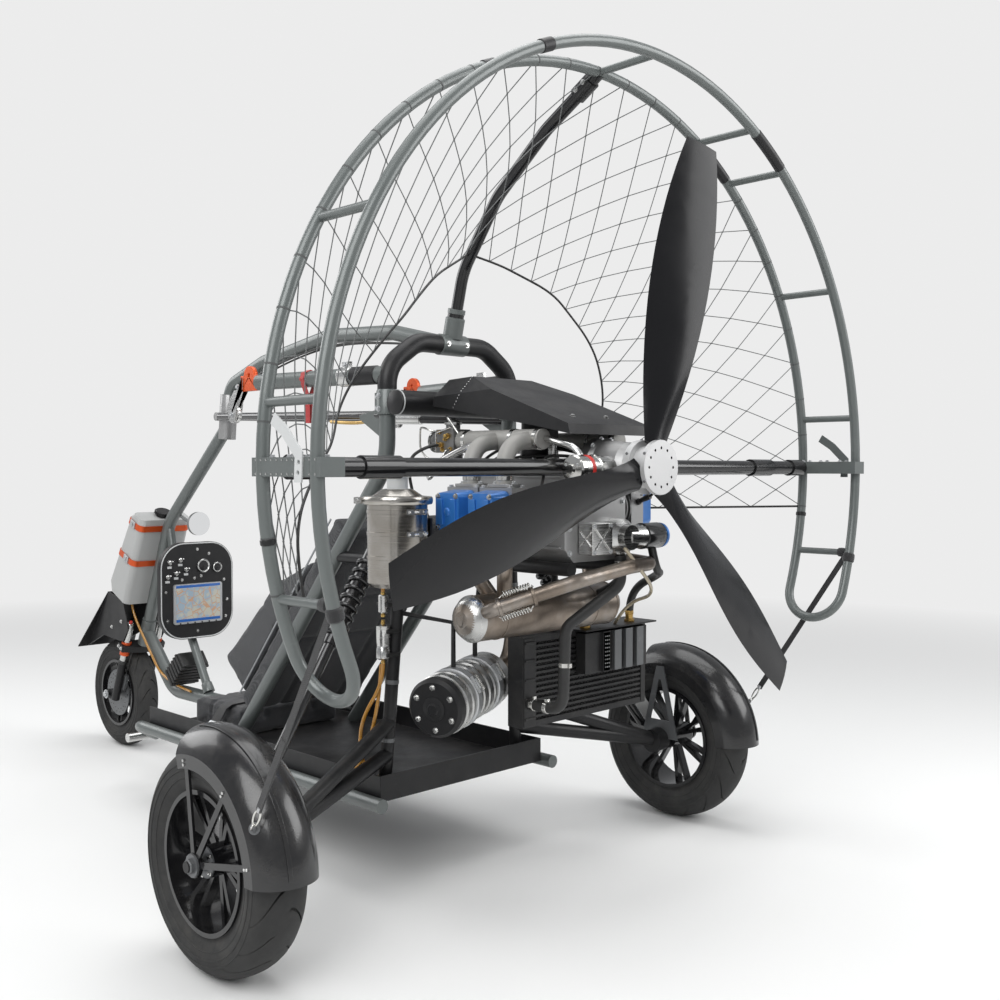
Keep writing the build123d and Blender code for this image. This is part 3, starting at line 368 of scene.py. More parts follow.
def blend_colours(tree, factor, first, second):
    """Colour mix of two sockets or colours."""
    node = tree.nodes.new("ShaderNodeMix")
    node.data_type = "RGBA"
    feed(tree, factor, node.inputs["Factor"])
    feed(tree, first, node.inputs[6])
    feed(tree, second, node.inputs[7])
    return node.outputs[2]


def build_groups():
    """Coat grain, settled dust, rub marks, brushed lines and woven cloth."""
    group, start, end = start_group(
        "Coat Grain", [("Scale", FLOAT, 400.0), ("Smooth", FLOAT, 0.3),
                       ("Rough", FLOAT, 0.5)],
        [("Height", FLOAT), ("Roughness", FLOAT)])
    place = object_place(group)
    fine = noise_node(group, place, start.outputs["Scale"], 3.0)
    patches = noise_node(group, place, 9.0, 5.0, 0.62)
    shine = spread(group, patches, 0.3, 0.7, start.outputs["Smooth"], start.outputs["Rough"])
    set_inputs(group, end, Height=fine, Roughness=shine)

    group, start, end = start_group(
        "Settled Dust", [("Colour", COLOUR, (0.1, 0.1, 0.1, 1)),
                         ("Dust Colour", COLOUR, (0.3, 0.28, 0.25, 1)),
                         ("Amount", FLOAT, 0.2)],
        [("Colour", COLOUR)])
    place = object_place(group)
    facing = group.nodes.new("ShaderNodeSeparateXYZ")
    group.links.new(group.nodes.new("ShaderNodeNewGeometry").outputs["Normal"], facing.inputs[0])
    upward = spread(group, facing.outputs["Z"], -0.2, 1.0, 0.15, 1.0)
    patches = spread(group, noise_node(group, place, 14.0, 6.0, 0.7), 0.42, 0.75)
    cover = arithmetic(group, "MULTIPLY", upward, patches)
    cover = arithmetic(group, "MULTIPLY", cover, start.outputs["Amount"])
    colour = blend_colours(group, cover, start.outputs["Colour"], start.outputs["Dust Colour"])
    group.links.new(colour, end.inputs["Colour"])

    group, start, end = start_group(
        "Rub Marks", [("Colour", COLOUR, (0.1, 0.1, 0.1, 1)),
                      ("Mark Colour", COLOUR, (0.4, 0.4, 0.4, 1)),
                      ("Scale", FLOAT, 30.0), ("Amount", FLOAT, 0.3)],
        [("Colour", COLOUR), ("Mask", FLOAT)])
    place = object_place(group)
    streaks = group.nodes.new("ShaderNodeMapping")
    streaks.inputs["Scale"].default_value = (1.0, 0.35, 1.7)
    group.links.new(place, streaks.inputs["Vector"])
    marks = noise_node(group, streaks.outputs["Vector"], start.outputs["Scale"], 8.0, 0.72)
    marks = spread(group, marks, 0.58, 0.78)
    mask = arithmetic(group, "MULTIPLY", marks, start.outputs["Amount"])
    colour = blend_colours(group, mask, start.outputs["Colour"], start.outputs["Mark Colour"])
    set_inputs(group, end, Colour=colour, Mask=mask)

    group, start, end = start_group(
        "Brushed Lines", [("Stretch", VECTOR, (2.0, 2.0, 300.0)), ("Smooth", FLOAT, 0.2),
                          ("Rough", FLOAT, 0.4)],
        [("Height", FLOAT), ("Roughness", FLOAT), ("Mask", FLOAT)])
    place = object_place(group)
    stretched = group.nodes.new("ShaderNodeVectorMath")
    stretched.operation = "MULTIPLY"
    group.links.new(place, stretched.inputs[0])
    group.links.new(start.outputs["Stretch"], stretched.inputs[1])
    lines = noise_node(group, stretched.outputs[0], 1.0, 4.0, 0.6)
    stains = noise_node(group, place, 7.0, 5.0, 0.6)
    shine = spread(group, lines, 0.3, 0.7, start.outputs["Smooth"], start.outputs["Rough"])
    set_inputs(group, end, Height=lines, Roughness=shine, Mask=spread(group, stains, 0.35, 0.7))

    group, start, end = start_group(
        "Woven Cloth", [("Colour", COLOUR, (0.05, 0.05, 0.05, 1)),
                        ("Thread Colour", COLOUR, (0.09, 0.09, 0.1, 1)),
                        ("Threads", FLOAT, 900.0)],
        [("Colour", COLOUR), ("Height", FLOAT)])
    place = object_place(group)
    waves = []
    for direction in ("X", "DIAGONAL"):
        wave = group.nodes.new("ShaderNodeTexWave")
        wave.bands_direction = direction
        set_inputs(group, wave, Vector=place, Scale=start.outputs["Threads"], Distortion=0.6, Detail=1.0)
        waves.append(wave.outputs["Fac"])
    weave = arithmetic(group, "MULTIPLY", *waves)
    fade = spread(group, noise_node(group, place, 6.0, 5.0, 0.6), 0.3, 0.75, 0.2, 1.0)
    tone = arithmetic(group, "MULTIPLY", fade, spread(group, weave, 0.0, 1.0, 0.35, 1.0))
    colour = blend_colours(group, tone, start.outputs["Colour"], start.outputs["Thread Colour"])
    set_inputs(group, end, Colour=colour, Height=weave)


def new_finish(name):
    """Empty material with its Principled shader."""
    material = bpy.data.materials.new(name)
    material.use_nodes = True
    return material, material.node_tree, material.node_tree.nodes["Principled BSDF"]


def use_group(tree, name, **values):
    """Places a shader group and feeds its inputs."""
    node = tree.nodes.new("ShaderNodeGroup")
    node.node_tree = bpy.data.node_groups[name]
    set_inputs(tree, node, **values)
    return node.outputs


def add_bump(tree, shader, height, distance, strength=0.6):
    """Bump from a height socket into the shader's normal."""
    bump = tree.nodes.new("ShaderNodeBump")
    set_inputs(tree, bump, Strength=strength, Distance=distance, Height=height)
    tree.links.new(bump.outputs["Normal"], shader.inputs["Normal"])


def coat_finish(name, colour, roughness=(0.3, 0.5), metallic=0.0, grain=500.0, bump=0.0002, dust=0.15, rub=0.2,
                mark=None, coat=0.0, dust_colour=(0.32, 0.3, 0.27), shine=0.5):
    """Painted, moulded or cast finish: grain, rub marks and settled dust over a colour."""
    material, tree, shader = new_finish(name)
    mark = mark or tuple(min(1.0, channel * 2.2 + 0.03) for channel in colour)
    rubbed = use_group(tree, "Rub Marks", Colour=colour, Mark_Colour=mark, Amount=rub, Scale=32.0)
    dusty = use_group(tree, "Settled Dust", Colour=rubbed["Colour"], Dust_Colour=dust_colour, Amount=dust)
    surface = use_group(tree, "Coat Grain", Scale=grain, Smooth=roughness[0], Rough=roughness[1])
    set_inputs(tree, shader, Base_Color=dusty["Colour"], Roughness=surface["Roughness"], Metallic=metallic,
               Specular_IOR_Level=shine, Coat_Weight=coat, Coat_Roughness=0.08)
    add_bump(tree, shader, surface["Height"], bump)
    return material


def brushed_finish(name, colour, stain, roughness=(0.18, 0.38), stretch=(3.0, 3.0, 260.0), bump=0.0002):
    """Bare metal with brushing and soft stains."""
    material, tree, shader = new_finish(name)
    surface = use_group(tree, "Brushed Lines", Stretch=stretch, Smooth=roughness[0], Rough=roughness[1])
    colours = blend_colours(tree, surface["Mask"], colour, stain)
    rubbed = use_group(tree, "Rub Marks", Colour=colours, Mark_Colour=tuple(0.6 * c for c in colour), Amount=0.25,
                       Scale=22.0)
    set_inputs(tree, shader, Base_Color=rubbed["Colour"], Roughness=surface["Roughness"], Metallic=1.0)
    add_bump(tree, shader, surface["Height"], bump, 0.35)
    return material


def cloth_finish(name, colour, thread, threads=900.0, bump=0.0008):
    """Woven fabric or webbing."""
    material, tree, shader = new_finish(name)
    woven = use_group(tree, "Woven Cloth", Colour=colour, Thread_Colour=thread, Threads=threads)
    dusty = use_group(tree, "Settled Dust", Colour=woven["Colour"], Amount=0.12)
    set_inputs(tree, shader, Base_Color=dusty["Colour"], Roughness=0.85, Sheen_Weight=0.25, Sheen_Roughness=0.5)
    add_bump(tree, shader, woven["Height"], bump, 0.7)
    return material


def heat_finish(name, cool, hot, deep):
    """Exhaust steel tinted by heat in broad drifting bands."""
    material, tree, shader = new_finish(name)
    surface = use_group(tree, "Brushed Lines", Stretch=(60.0, 60.0, 60.0), Smooth=0.3, Rough=0.5)
    place = object_place(tree)
    drift = noise_node(tree, place, 4.5, 6.0, 0.65)
    ramp = tree.nodes.new("ShaderNodeValToRGB")
    tree.links.new(drift, ramp.inputs["Fac"])
    ramp.color_ramp.elements[0].position = 0.32
    ramp.color_ramp.elements[0].color = (*deep, 1)
    ramp.color_ramp.elements[1].position = 0.7
    ramp.color_ramp.elements[1].color = (*cool, 1)
    middle = ramp.color_ramp.elements.new(0.5)
    middle.color = (*hot, 1)
    dusty = use_group(tree, "Settled Dust", Colour=ramp.outputs["Color"], Dust_Colour=(0.2, 0.15, 0.1), Amount=0.3)
    set_inputs(tree, shader, Base_Color=dusty["Colour"], Roughness=surface["Roughness"], Metallic=0.9)
    add_bump(tree, shader, surface["Height"], 0.0003, 0.4)
    return material


# Sizes and colours that a user may change


def colour_property(name, description, default):
    """Colour setting of a finish."""
    return FloatVectorProperty(name=name, description=description, default=default, subtype="COLOR", size=3,
                               min=0.0, max=1.0)


def length_property(name, description, default, low, high):
    """Length setting of a dressed piece."""
    return FloatProperty(name=name, description=description, default=default, min=low, max=high, unit="LENGTH")


class TrikeColours(bpy.types.PropertyGroup):
    """Colours of the trike's finishes."""

    frame: colour_property("Frame", "Powder coat of the tubes and hoops", (0.115, 0.128, 0.125))
    black: colour_property("Black", "Satin black of arms, pan and covers", (0.012, 0.012, 0.013))
    gloss: colour_property("Gloss black", "Fenders, wheels and post", (0.008, 0.008, 0.009))
    rubber: colour_property("Rubber", "Tyres and hoses", (0.018, 0.018, 0.018))
    alloy: colour_property("Cast alloy", "Engine castings", (0.34, 0.34, 0.34))
    bright: colour_property("Bright alloy", "Turned and polished fittings", (0.66, 0.66, 0.65))
    blue: colour_property("Cover blue", "Rocker covers", (0.03, 0.175, 0.53))
    orange: colour_property("Orange", "Anodised clamps and straps", (0.62, 0.085, 0.015))
    tank: colour_property("Tank", "Fuel tank plastic", (0.4, 0.405, 0.4))
    cloth: colour_property("Seat cloth", "Seat and harness fabric", (0.014, 0.015, 0.018))
    net: colour_property("Net", "Cord of the cage net", (0.15, 0.155, 0.155))
    floor: colour_property("Floor", "Studio floor", (0.8, 0.8, 0.79))


class TrikeSizes(bpy.types.PropertyGroup):
    """Sizes of the trike's dressed pieces."""

    net_cord: length_property("Net cord", "Thickness of the net's cord", 0.0026, 0.001, 0.008)
    net_rope: length_property("Net rope", "Thickness of the rope along the net's inner edge", 0.006, 0.002, 0.02)
    net_rows: IntProperty(name="Net rows", description="Rows of meshes between hoop and rope", default=8,
                          min=4, max=24)
    net_step: FloatProperty(name="Net step", description="Angle between the net's ties along the hoop",
                            default=radians(6.5), min=radians(3), max=radians(12), unit="ROTATION")
    tread_depth: length_property("Tread depth", "Depth of the tyres' grooves", 0.0055, 0.001, 0.012)
    pad_swell: length_property("Pad swell", "Furthest that a seat pad may swell", 0.014, 0.0, 0.03)
    pad_voxel: length_property("Pad voxel", "Grain of the seat pads' mesh", 0.0078, 0.004, 0.012)


def colours():
    """The scene's colour settings."""
    return bpy.context.scene.trike_colours


def sizes():
    """The scene's size settings."""
    return bpy.context.scene.trike_sizes


# Finishes of the CAD nodes: finish -> nodes
NODE_FINISHES = {
    "Frame Grey": ("cage_blocks", "cage_hoops", "down_tube", "front_stem", "panel_post", "side_rails", "spine_tube",
                   "uprights", "wing_arms"),
    "Satin Black": ("belly_pan", "engine_cradle", "oil_tank_bracket", "radiator_shelf", "rear_arms",
                    "silencer_cap", "fork_sliders", "visor", "roll_arch", "fork_crown"),
    "Fender Black": ("fenders",),
    "Gloss Black": ("cage_post", "cage_arms", "fender_brackets", "front_wheel", "rear_wheel_left",
                    "rear_wheel_right", "lower_braces"),
    "Spring Black": ("struts",),
    "Sheet Black": ("intake_cover", "instrument_panel"),
    "Blade Black": ("prop_blades",),
    "Cast Alloy": ("crankcase", "gearbox", "cylinder_heads", "frame_clamp"),
    "Pale Cast": ("intake_runners",),
    "Hub Silver": ("prop_hub",),
    "Fin Alloy": ("cylinders", "carburettors"),
    "Bright Alloy": ("engine_accessories", "foot_pegs", "fork_stanchions"),
    "Tank Steel": ("oil_tank",),
    "Brushed Steel": ("silencer",),
    "Exhaust Steel": ("exhaust",),
    "Cover Blue": ("rocker_covers",),
    "Orange": ("hang_fittings", "tank_straps"),
    "Tank Plastic": ("fuel_tank",),
    "Core Black": ("radiator", "oil_cooler"),
    "Hose Rubber": ("coolant_hose",),
    "Mirror Shell": ("mirror",),
    "Screen Frame": ("panel_display",),
    "Tyre Rubber": ("front_tyre", "rear_tyre_left", "rear_tyre_right"),
    "Seat Cloth": ("seat_back", "seat_base", "seat_bolsters"),
}

# CAD nodes with square edges that get a small rounding: node -> width
ROUNDED_NODES = {"rocker_covers": 0.004, "intake_cover": 0.0025, "cage_blocks": 0.002, "radiator": 0.0015,
                 "oil_cooler": 0.0015, "crankcase": 0.003, "belly_pan": 0.0015, "oil_tank_bracket": 0.0012,
                 "frame_clamp": 0.002, "hang_fittings": 0.0015, "fuel_tank": 0.008, "instrument_panel": 0.002,
                 "fork_crown": 0.002, "visor": 0.001}


def dress_nodes():
    """Puts each CAD node's finish on it, and rounds the boxy ones."""
    for finish, nodes in NODE_FINISHES.items():
        for node in nodes:
            mesh = NODES[node].data
            mesh.materials.clear()
            mesh.materials.append(bpy.data.materials[finish])
    for node, width in ROUNDED_NODES.items():
        piece = NODES[node]
        weld = piece.modifiers.new("Joined faces", "WELD")
        weld.merge_threshold = 0.00002
        bevelled(piece, width)


class TRIKE_OT_finishes(bpy.types.Operator):
    """Builds the shader groups and finishes, and puts them on the CAD nodes"""

    bl_idname = "trike.finishes"
    bl_label = "Finishes"

    def execute(self, context):
        tones = colours()
        build_groups()
        coat_finish("Frame Grey", tones.frame, (0.32, 0.46), 0.25, 420.0, 0.00005, 0.1, 0.16, coat=0.25)
        coat_finish("Satin Black", tones.black, (0.32, 0.5), 0.0, 700.0, 0.00015, 0.08, 0.16, shine=0.32)
        coat_finish("Gloss Black", tones.gloss, (0.12, 0.26), 0.0, 300.0, 0.00004, 0.06, 0.1, coat=0.3, shine=0.35)
        coat_finish("Sheet Black", tones.black, (0.38, 0.52), 0.0, 1200.0, 0.00018, 0.07, 0.12, shine=0.3)
        coat_finish("Spring Black", tones.gloss, (0.14, 0.26), 0.1, 500.0, 0.00005, 0.1, 0.2, coat=0.4)
        coat_finish("Blade Black", tones.gloss, (0.16, 0.26), 0.0, 260.0, 0.00003, 0.0, 0.02, shine=0.22)
        coat_finish("Tyre Rubber", tones.rubber, (0.62, 0.82), 0.0, 1400.0, 0.0003, 0.35, 0.2,
                    dust_colour=(0.16, 0.15, 0.13))
        coat_finish("Hose Rubber", tones.rubber, (0.38, 0.55), 0.0, 900.0, 0.0002, 0.12, 0.18)
        coat_finish("Core Black", tones.black, (0.45, 0.6), 0.2, 900.0, 0.0002, 0.2, 0.35, mark=(0.09, 0.09, 0.09))
        coat_finish("Cast Alloy", tones.alloy, (0.36, 0.55), 0.85, 380.0, 0.0005, 0.25, 0.4,
                    mark=(0.16, 0.155, 0.15), dust_colour=(0.12, 0.11, 0.1))
        coat_finish("Fin Alloy", (0.22, 0.22, 0.22), (0.4, 0.58), 0.8, 420.0, 0.0004, 0.3, 0.4,
                    mark=(0.1, 0.1, 0.095), dust_colour=(0.1, 0.09, 0.08))
        coat_finish("Cover Blue", tones.blue, (0.28, 0.42), 0.35, 800.0, 0.00018, 0.08, 0.25, coat=0.4)
        coat_finish("Orange", tones.orange, (0.26, 0.4), 0.45, 600.0, 0.0001, 0.08, 0.2)
        coat_finish("Red Plastic", (0.55, 0.02, 0.015), (0.3, 0.45), 0.0, 600.0, 0.0001, 0.08, 0.2)
        coat_finish("Tank Plastic", tones.tank, (0.42, 0.55), 0.0, 260.0, 0.0002, 0.12, 0.12, mark=(0.45, 0.45, 0.43))
        coat_finish("Mirror Shell", (0.2, 0.205, 0.205), (0.4, 0.55), 0.3, 700.0, 0.0002, 0.1, 0.3)
        coat_finish("Screen Frame", (0.45, 0.46, 0.47), (0.3, 0.4), 0.6, 600.0, 0.0001, 0.05, 0.15)
        coat_finish("Net Cord", tones.net, (0.7, 0.85), 0.0, 2500.0, 0.0002, 0.1, 0.3, mark=(0.2, 0.2, 0.2))
        coat_finish("Net Tie", tuple(0.45 * channel for channel in tones.net), (0.6, 0.8), 0.0, 2500.0, 0.0002,
                    0.1, 0.2)
        coat_finish("Pale Cast", (0.33, 0.325, 0.31), (0.5, 0.65), 0.35, 380.0, 0.0005, 0.2, 0.3,
                    mark=(0.2, 0.19, 0.18))
        coat_finish("Hub Silver", (0.6, 0.6, 0.6), (0.34, 0.46), 0.55, 900.0, 0.00008, 0.05, 0.1,
                    mark=(0.45, 0.45, 0.45))
        coat_finish("Amber Hose", (0.42, 0.2, 0.03), (0.12, 0.24), 0.0, 300.0, 0.00005, 0.05, 0.1, coat=0.5)
        coat_finish("Screen Blue", (0.03, 0.12, 0.4), (0.1, 0.2), 0.0, 300.0, 0.00002, 0.03, 0.05, coat=0.4)
        coat_finish("Mirror Glass", (0.8, 0.81, 0.82), (0.02, 0.06), 1.0, 300.0, 0.00001, 0.04, 0.04)
        coat_finish("Pale Piping", (0.3, 0.31, 0.32), (0.6, 0.8), 0.0, 1500.0, 0.0002, 0.1, 0.2)
        coat_finish("Fender Black", tones.gloss, (0.16, 0.3), 0.0, 240.0, 0.00035, 0.12, 0.1, coat=0.3)
        coat_finish("Zinc Dark", (0.14, 0.145, 0.15), (0.35, 0.5), 0.5, 500.0, 0.0002, 0.15, 0.25)
        coat_finish("Fin Grey", (0.07, 0.07, 0.072), (0.4, 0.55), 0.6, 900.0, 0.0001, 0.2, 0.3)
        coat_finish("Clear Hose", (0.42, 0.36, 0.26), (0.12, 0.22), 0.0, 300.0, 0.00005, 0.05, 0.1, coat=0.5)
        coat_finish("Zinc Grey", (0.5, 0.51, 0.52), (0.3, 0.45), 0.75, 500.0, 0.0002, 0.12, 0.25,
                    mark=(0.3, 0.3, 0.3))
        coat_finish("Pale Grey", (0.52, 0.53, 0.53), (0.4, 0.55), 0.1, 700.0, 0.0001, 0.1, 0.18,
                    mark=(0.34, 0.34, 0.34))
        brushed_finish("Bright Alloy", tones.bright, (0.48, 0.48, 0.47), (0.16, 0.32))
        brushed_finish("Polished Steel", (0.68, 0.68, 0.66), (0.56, 0.55, 0.52), (0.08, 0.2),
                       (2.0, 2.0, 420.0), 0.00008)
        brushed_finish("Tank Steel", (0.47, 0.455, 0.43), (0.31, 0.285, 0.25), (0.16, 0.3),
                       (2.0, 2.0, 420.0), 0.00006)
        brushed_finish("Brushed Steel", (0.58, 0.58, 0.57), (0.42, 0.42, 0.41), (0.22, 0.4), (240.0, 30.0, 30.0))
        brushed_finish("Brass", (0.62, 0.42, 0.14), (0.45, 0.28, 0.09), (0.2, 0.36))
        heat_finish("Exhaust Steel", (0.36, 0.34, 0.32), (0.24, 0.2, 0.165), (0.13, 0.105, 0.085))
        cloth_finish("Seat Cloth", tones.cloth, tuple(2.3 * channel for channel in tones.cloth), 700.0)
        cloth_finish("Black Webbing", (0.01, 0.01, 0.011), (0.028, 0.028, 0.03), 1500.0, 0.0004)
        cloth_finish("Red Webbing", (0.32, 0.01, 0.01), (0.5, 0.03, 0.03), 1500.0, 0.0004)
        dress_nodes()
        return {"FINISHED"}


class TRIKE_OT_stage(bpy.types.Operator):
    """Makes the pale floor, the soft lamps and the camera"""

    bl_idname = "trike.stage"
    bl_label = "Stage"

    def execute(self, context):
        scene = context.scene
        scene.view_settings.view_transform = "Standard"
        camera = bpy.data.objects.new("Camera", bpy.data.cameras.new("Camera"))
        camera.location = (-2.0593, -2.961, 1.0684)
        camera.rotation_euler = (radians(90 - 1.563), 0, radians(-44.68))
        camera.data.sensor_width = 36.0
        camera.data.lens = 40.914
        scene.collection.objects.link(camera)
        scene.camera = camera

        backdrop = (0.84, 0.84, 0.84)
        world = bpy.data.worlds.new("Studio")
        world.use_nodes = True
        tree = world.node_tree
        light = tree.nodes["Background"]
        set_inputs(tree, light, Color=(0.95, 0.97, 1.0), Strength=0.42)
        seen = tree.nodes.new("ShaderNodeBackground")
        set_inputs(tree, seen, Color=backdrop)
        path = tree.nodes.new("ShaderNodeLightPath")
        shown = arithmetic(tree, "MAXIMUM", path.outputs["Is Camera Ray"], path.outputs["Is Transmission Ray"])
        either = tree.nodes.new("ShaderNodeMixShader")
        tree.links.new(shown, either.inputs[0])
        tree.links.new(light.outputs[0], either.inputs[1])
        tree.links.new(seen.outputs[0], either.inputs[2])
        tree.links.new(either.outputs[0], tree.nodes["World Output"].inputs["Surface"])
        scene.world = world

        material, tree, shader = new_finish("Studio Floor")
        set_inputs(tree, shader, Base_Color=colours().floor, Roughness=0.75)
        glow = tree.nodes.new("ShaderNodeEmission")
        set_inputs(tree, glow, Color=backdrop)
        length = tree.nodes.new("ShaderNodeVectorMath")
        length.operation = "LENGTH"
        tree.links.new(object_place(tree), length.inputs[0])
        fade = spread(tree, length.outputs["Value"], 2.2, 6.5)
        join = tree.nodes.new("ShaderNodeMixShader")
        tree.links.new(fade, join.inputs[0])
        tree.links.new(shader.outputs[0], join.inputs[1])
        tree.links.new(glow.outputs[0], join.inputs[2])
        tree.links.new(join.outputs[0], tree.nodes["Material Output"].inputs["Surface"])
        ground = bmesh.new()
        bmesh.ops.create_circle(ground, cap_ends=True, segments=64, radius=60.0,
                                matrix=Matrix.Translation((0, 0, -0.0005)))
        mesh = bpy.data.meshes.new("studio_floor")
        ground.to_mesh(mesh)
        ground.free()
        mesh.materials.append(material)
        floor = bpy.data.objects.new("studio_floor", mesh)
        scene.collection.objects.link(floor)

        # place, watts, size of each soft lamp, all turned towards the engine
        lamps = (((-3.6, -2.2, 3.6), 150.0, 3.2), ((2.6, -3.8, 2.8), 95.0, 2.6), ((-1.5, 3.6, 3.2), 80.0, 3.0),
                 ((0.4, -0.6, 4.6), 90.0, 3.4))
        for index, (place, watts, size) in enumerate(lamps):
            lamp = bpy.data.lights.new(f"Softbox_{index}", "AREA")
            lamp.energy = watts
            lamp.size = size
            holder = bpy.data.objects.new(lamp.name, lamp)
            holder.location = place
            holder.rotation_euler = (Vector((0, -0.6, 0.8)) - Vector(place)).to_track_quat("-Z", "Y").to_euler()
            scene.collection.objects.link(holder)
        return {"FINISHED"}


# Tyres

# Half of the tyre's section from the crown to the bead: (share of half width, share of section height)
TYRE_SECTION = ((0.0, 1.0), (0.16, 0.996), (0.32, 0.982), (0.48, 0.955), (0.62, 0.916), (0.74, 0.864), (0.84, 0.8),
                (0.92, 0.725), (0.97, 0.64), (1.0, 0.54), (0.995, 0.43), (0.965, 0.33), (0.91, 0.235),
                (0.85, 0.15), (0.79, 0.08), (0.765, 0.03), (0.765, 0.0))
# One pitch of the tread: (share of the pitch, groove floor or not) down each row of points
TREAD_PITCH = ((0.0, 0), (0.1, 0), (0.2, 0), (0.3, 0), (0.39, 0), (0.455, 0), (0.475, 1), (0.515, 1), (0.535, 0),
               (0.62, 0), (0.74, 0), (0.87, 0))


def tyre_mesh(centre, radius, width, bead, pitches, depth, sweep):
    """Tyre about an axle along X, with swept grooves cut from near the crown to the shoulders."""
    half = [(share * width / 2, bead + height * (radius - bead), share) for share, height in TYRE_SECTION]
    section = [(-across, out, -share) for across, out, share in reversed(half[1:])] + half
    mesh = bmesh.new()
    rings = []
    for row, (across, out, share) in enumerate(section):
        ring = []
        tread = row in range(6, len(section) - 6)
        for pitch in range(pitches):
            for part, floor in TREAD_PITCH:
                turn = (pitch + part + sweep * share * share + (0.5 if share > 0 else 0.0)) / pitches
                reach = abs(share)
                grooved = floor and tread and 0.1 < reach < 0.93 and (pitch % 3 or reach > 0.4)
                size = out - depth if grooved else out
                angle = 2 * pi * turn
                ring.append(mesh.verts.new(centre + Vector((across, size * cos(angle), size * sin(angle)))))
        rings.append(ring)
    count = pitches * len(TREAD_PITCH)
    middle = len(section) // 2
    shift = round(0.5 * len(TREAD_PITCH))
    for index, (low, high) in enumerate(zip(rings, rings[1:])):
        offset = shift if index == middle else 0
        for step in range(count):
            after = (step + 1) % count
            mesh.faces.new((low[(step + offset) % count], low[(after + offset) % count], high[after], high[step]))
    bmesh.ops.recalc_face_normals(mesh, faces=mesh.faces)
    return mesh


def add_ring(mesh, centre, radius, out, wide, high, steps=96):
    """Adds a low moulded ring to a tyre's side wall, about an axle along X."""
    inner, outer = radius - wide / 2, radius + wide / 2
    rings = []
    for lift, size in ((-0.002, inner), (high, inner + wide * 0.3), (high, outer - wide * 0.3), (-0.002, outer)):
        ring = []
        for place in circle(centre + RIGHT * (out[0] + out[1] * lift), size, turns(steps)):
            ring.append(mesh.verts.new(place))
        rings.append(ring)
    made = []
    for low, up in zip(rings, rings[1:]):
        for step in range(steps):
            after = (step + 1) % steps
            made.append(mesh.faces.new((low[step], low[after], up[after], up[step])))
    bmesh.ops.recalc_face_normals(mesh, faces=made)


# name, node, body, centre, radius, width, bead radius, pitches, sweep
TYRES = (("tyre_left", "rear_tyre_left", "rear_wheel_left", at(-REAR_X, 0, REAR_UP), REAR_UP, 0.13, 0.152, 17, 1.1),
         ("tyre_right", "rear_tyre_right", "rear_wheel_right", at(REAR_X, 0, REAR_UP), REAR_UP, 0.13, 0.152, 17, -1.1),
         ("tyre_front", "front_tyre", "front_wheel", FRONT_HUB, 0.205, 0.084, 0.1268, 18, 1.0))


class TRIKE_OT_tyres(bpy.types.Operator):
    """Makes the three tyres with cut treads and moulded side walls"""

    bl_idname = "trike.tyres"
    bl_label = "Tyres"

    def execute(self, context):
        depth = sizes().tread_depth
        for name, node, body, centre, radius, width, bead, pitches, sweep in TYRES:
            mesh = tyre_mesh(centre, radius, width, bead, pitches, depth * radius / REAR_UP, sweep)
            tall = radius - bead
            for side in SIDES:
                for share, reach in ((0.3, 0.945), (0.47, 1.0), (0.61, 0.985)):
                    add_ring(mesh, centre, bead + share * tall, (side * width / 2 * reach, side), 0.006, 0.0013)
            piece = add_piece(name, mesh, "Tyre Rubber", body)
            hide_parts(node)
        return {"FINISHED"}


# Seat pads


def pad_copy(name, node, shrink):
    """Copy of a CAD node's mesh, drawn in by a small step along its normals."""
    mesh = bmesh.new()
    mesh.from_mesh(NODES[node].data)
    bmesh.ops.remove_doubles(mesh, verts=mesh.verts, dist=0.00005)
    bmesh.ops.recalc_face_normals(mesh, faces=mesh.faces)
    mesh.normal_update()
    for vert in mesh.verts:
        normals = []
        for face in vert.link_faces:
            if all(face.normal.dot(other) < 0.9 for other in normals):
                normals.append(face.normal.copy())
        for normal in normals:
            vert.co -= normal * shrink
    data = bpy.data.meshes.new(name)
    mesh.to_mesh(data)
    mesh.free()
    piece = bpy.data.objects.new(name, data)
    bpy.context.scene.collection.objects.link(piece)
    return piece


def baked(piece):
    """Replaces a piece's mesh by its evaluated one, and clears its modifiers."""
    bpy.context.view_layer.update()
    graph = bpy.context.evaluated_depsgraph_get()
    mesh = bpy.data.meshes.new_from_object(piece.evaluated_get(graph))
    piece.modifiers.clear()
    piece.data = mesh
    return mesh


def swollen(piece, voxel, pressure, limit):
    """Remeshes a pad, blows it up as cloth and caps how far each point moves."""
    remesh = piece.modifiers.new("Voxels", "REMESH")
    remesh.mode = "VOXEL"
    remesh.voxel_size = voxel
    mesh = baked(piece)
    rest = [vert.co.copy() for vert in mesh.vertices]
    cloth = piece.modifiers.new("Blown up", "CLOTH")
    cloth.settings.quality = 4
    cloth.settings.mass = 0.2
    cloth.settings.tension_stiffness = 12
    cloth.settings.compression_stiffness = 12
    cloth.settings.bending_stiffness = 1.5
    cloth.settings.use_pressure = True
    cloth.settings.uniform_pressure_force = pressure
    cloth.settings.effector_weights.gravity = 0.0
    cloth.collision_settings.use_collision = False
    scene = bpy.context.scene
    for step in range(1, 21):
        scene.frame_set(step)
    mesh = baked(piece)
    scene.frame_set(1)
    for vert, start in zip(mesh.vertices, rest):
        move = vert.co - start
        if move.length > limit:
            vert.co = start + move * (limit / move.length)


def press_lines(mesh, lines, depth, width):
    """Presses sewn channels into a pad: each line is (point, unit direction across it, lowest height)."""
    normals = [vert.normal.copy() for vert in mesh.vertices]
    for vert, normal in zip(mesh.vertices, normals):
        sink = 0.0
        for point, across, lowest in lines:
            gap = abs((vert.co - point).dot(across))
            if vert.co.z > lowest and gap < width:
                sink = max(sink, (1 - gap / width) ** 1.5)
        vert.co -= normal * (depth * sink)


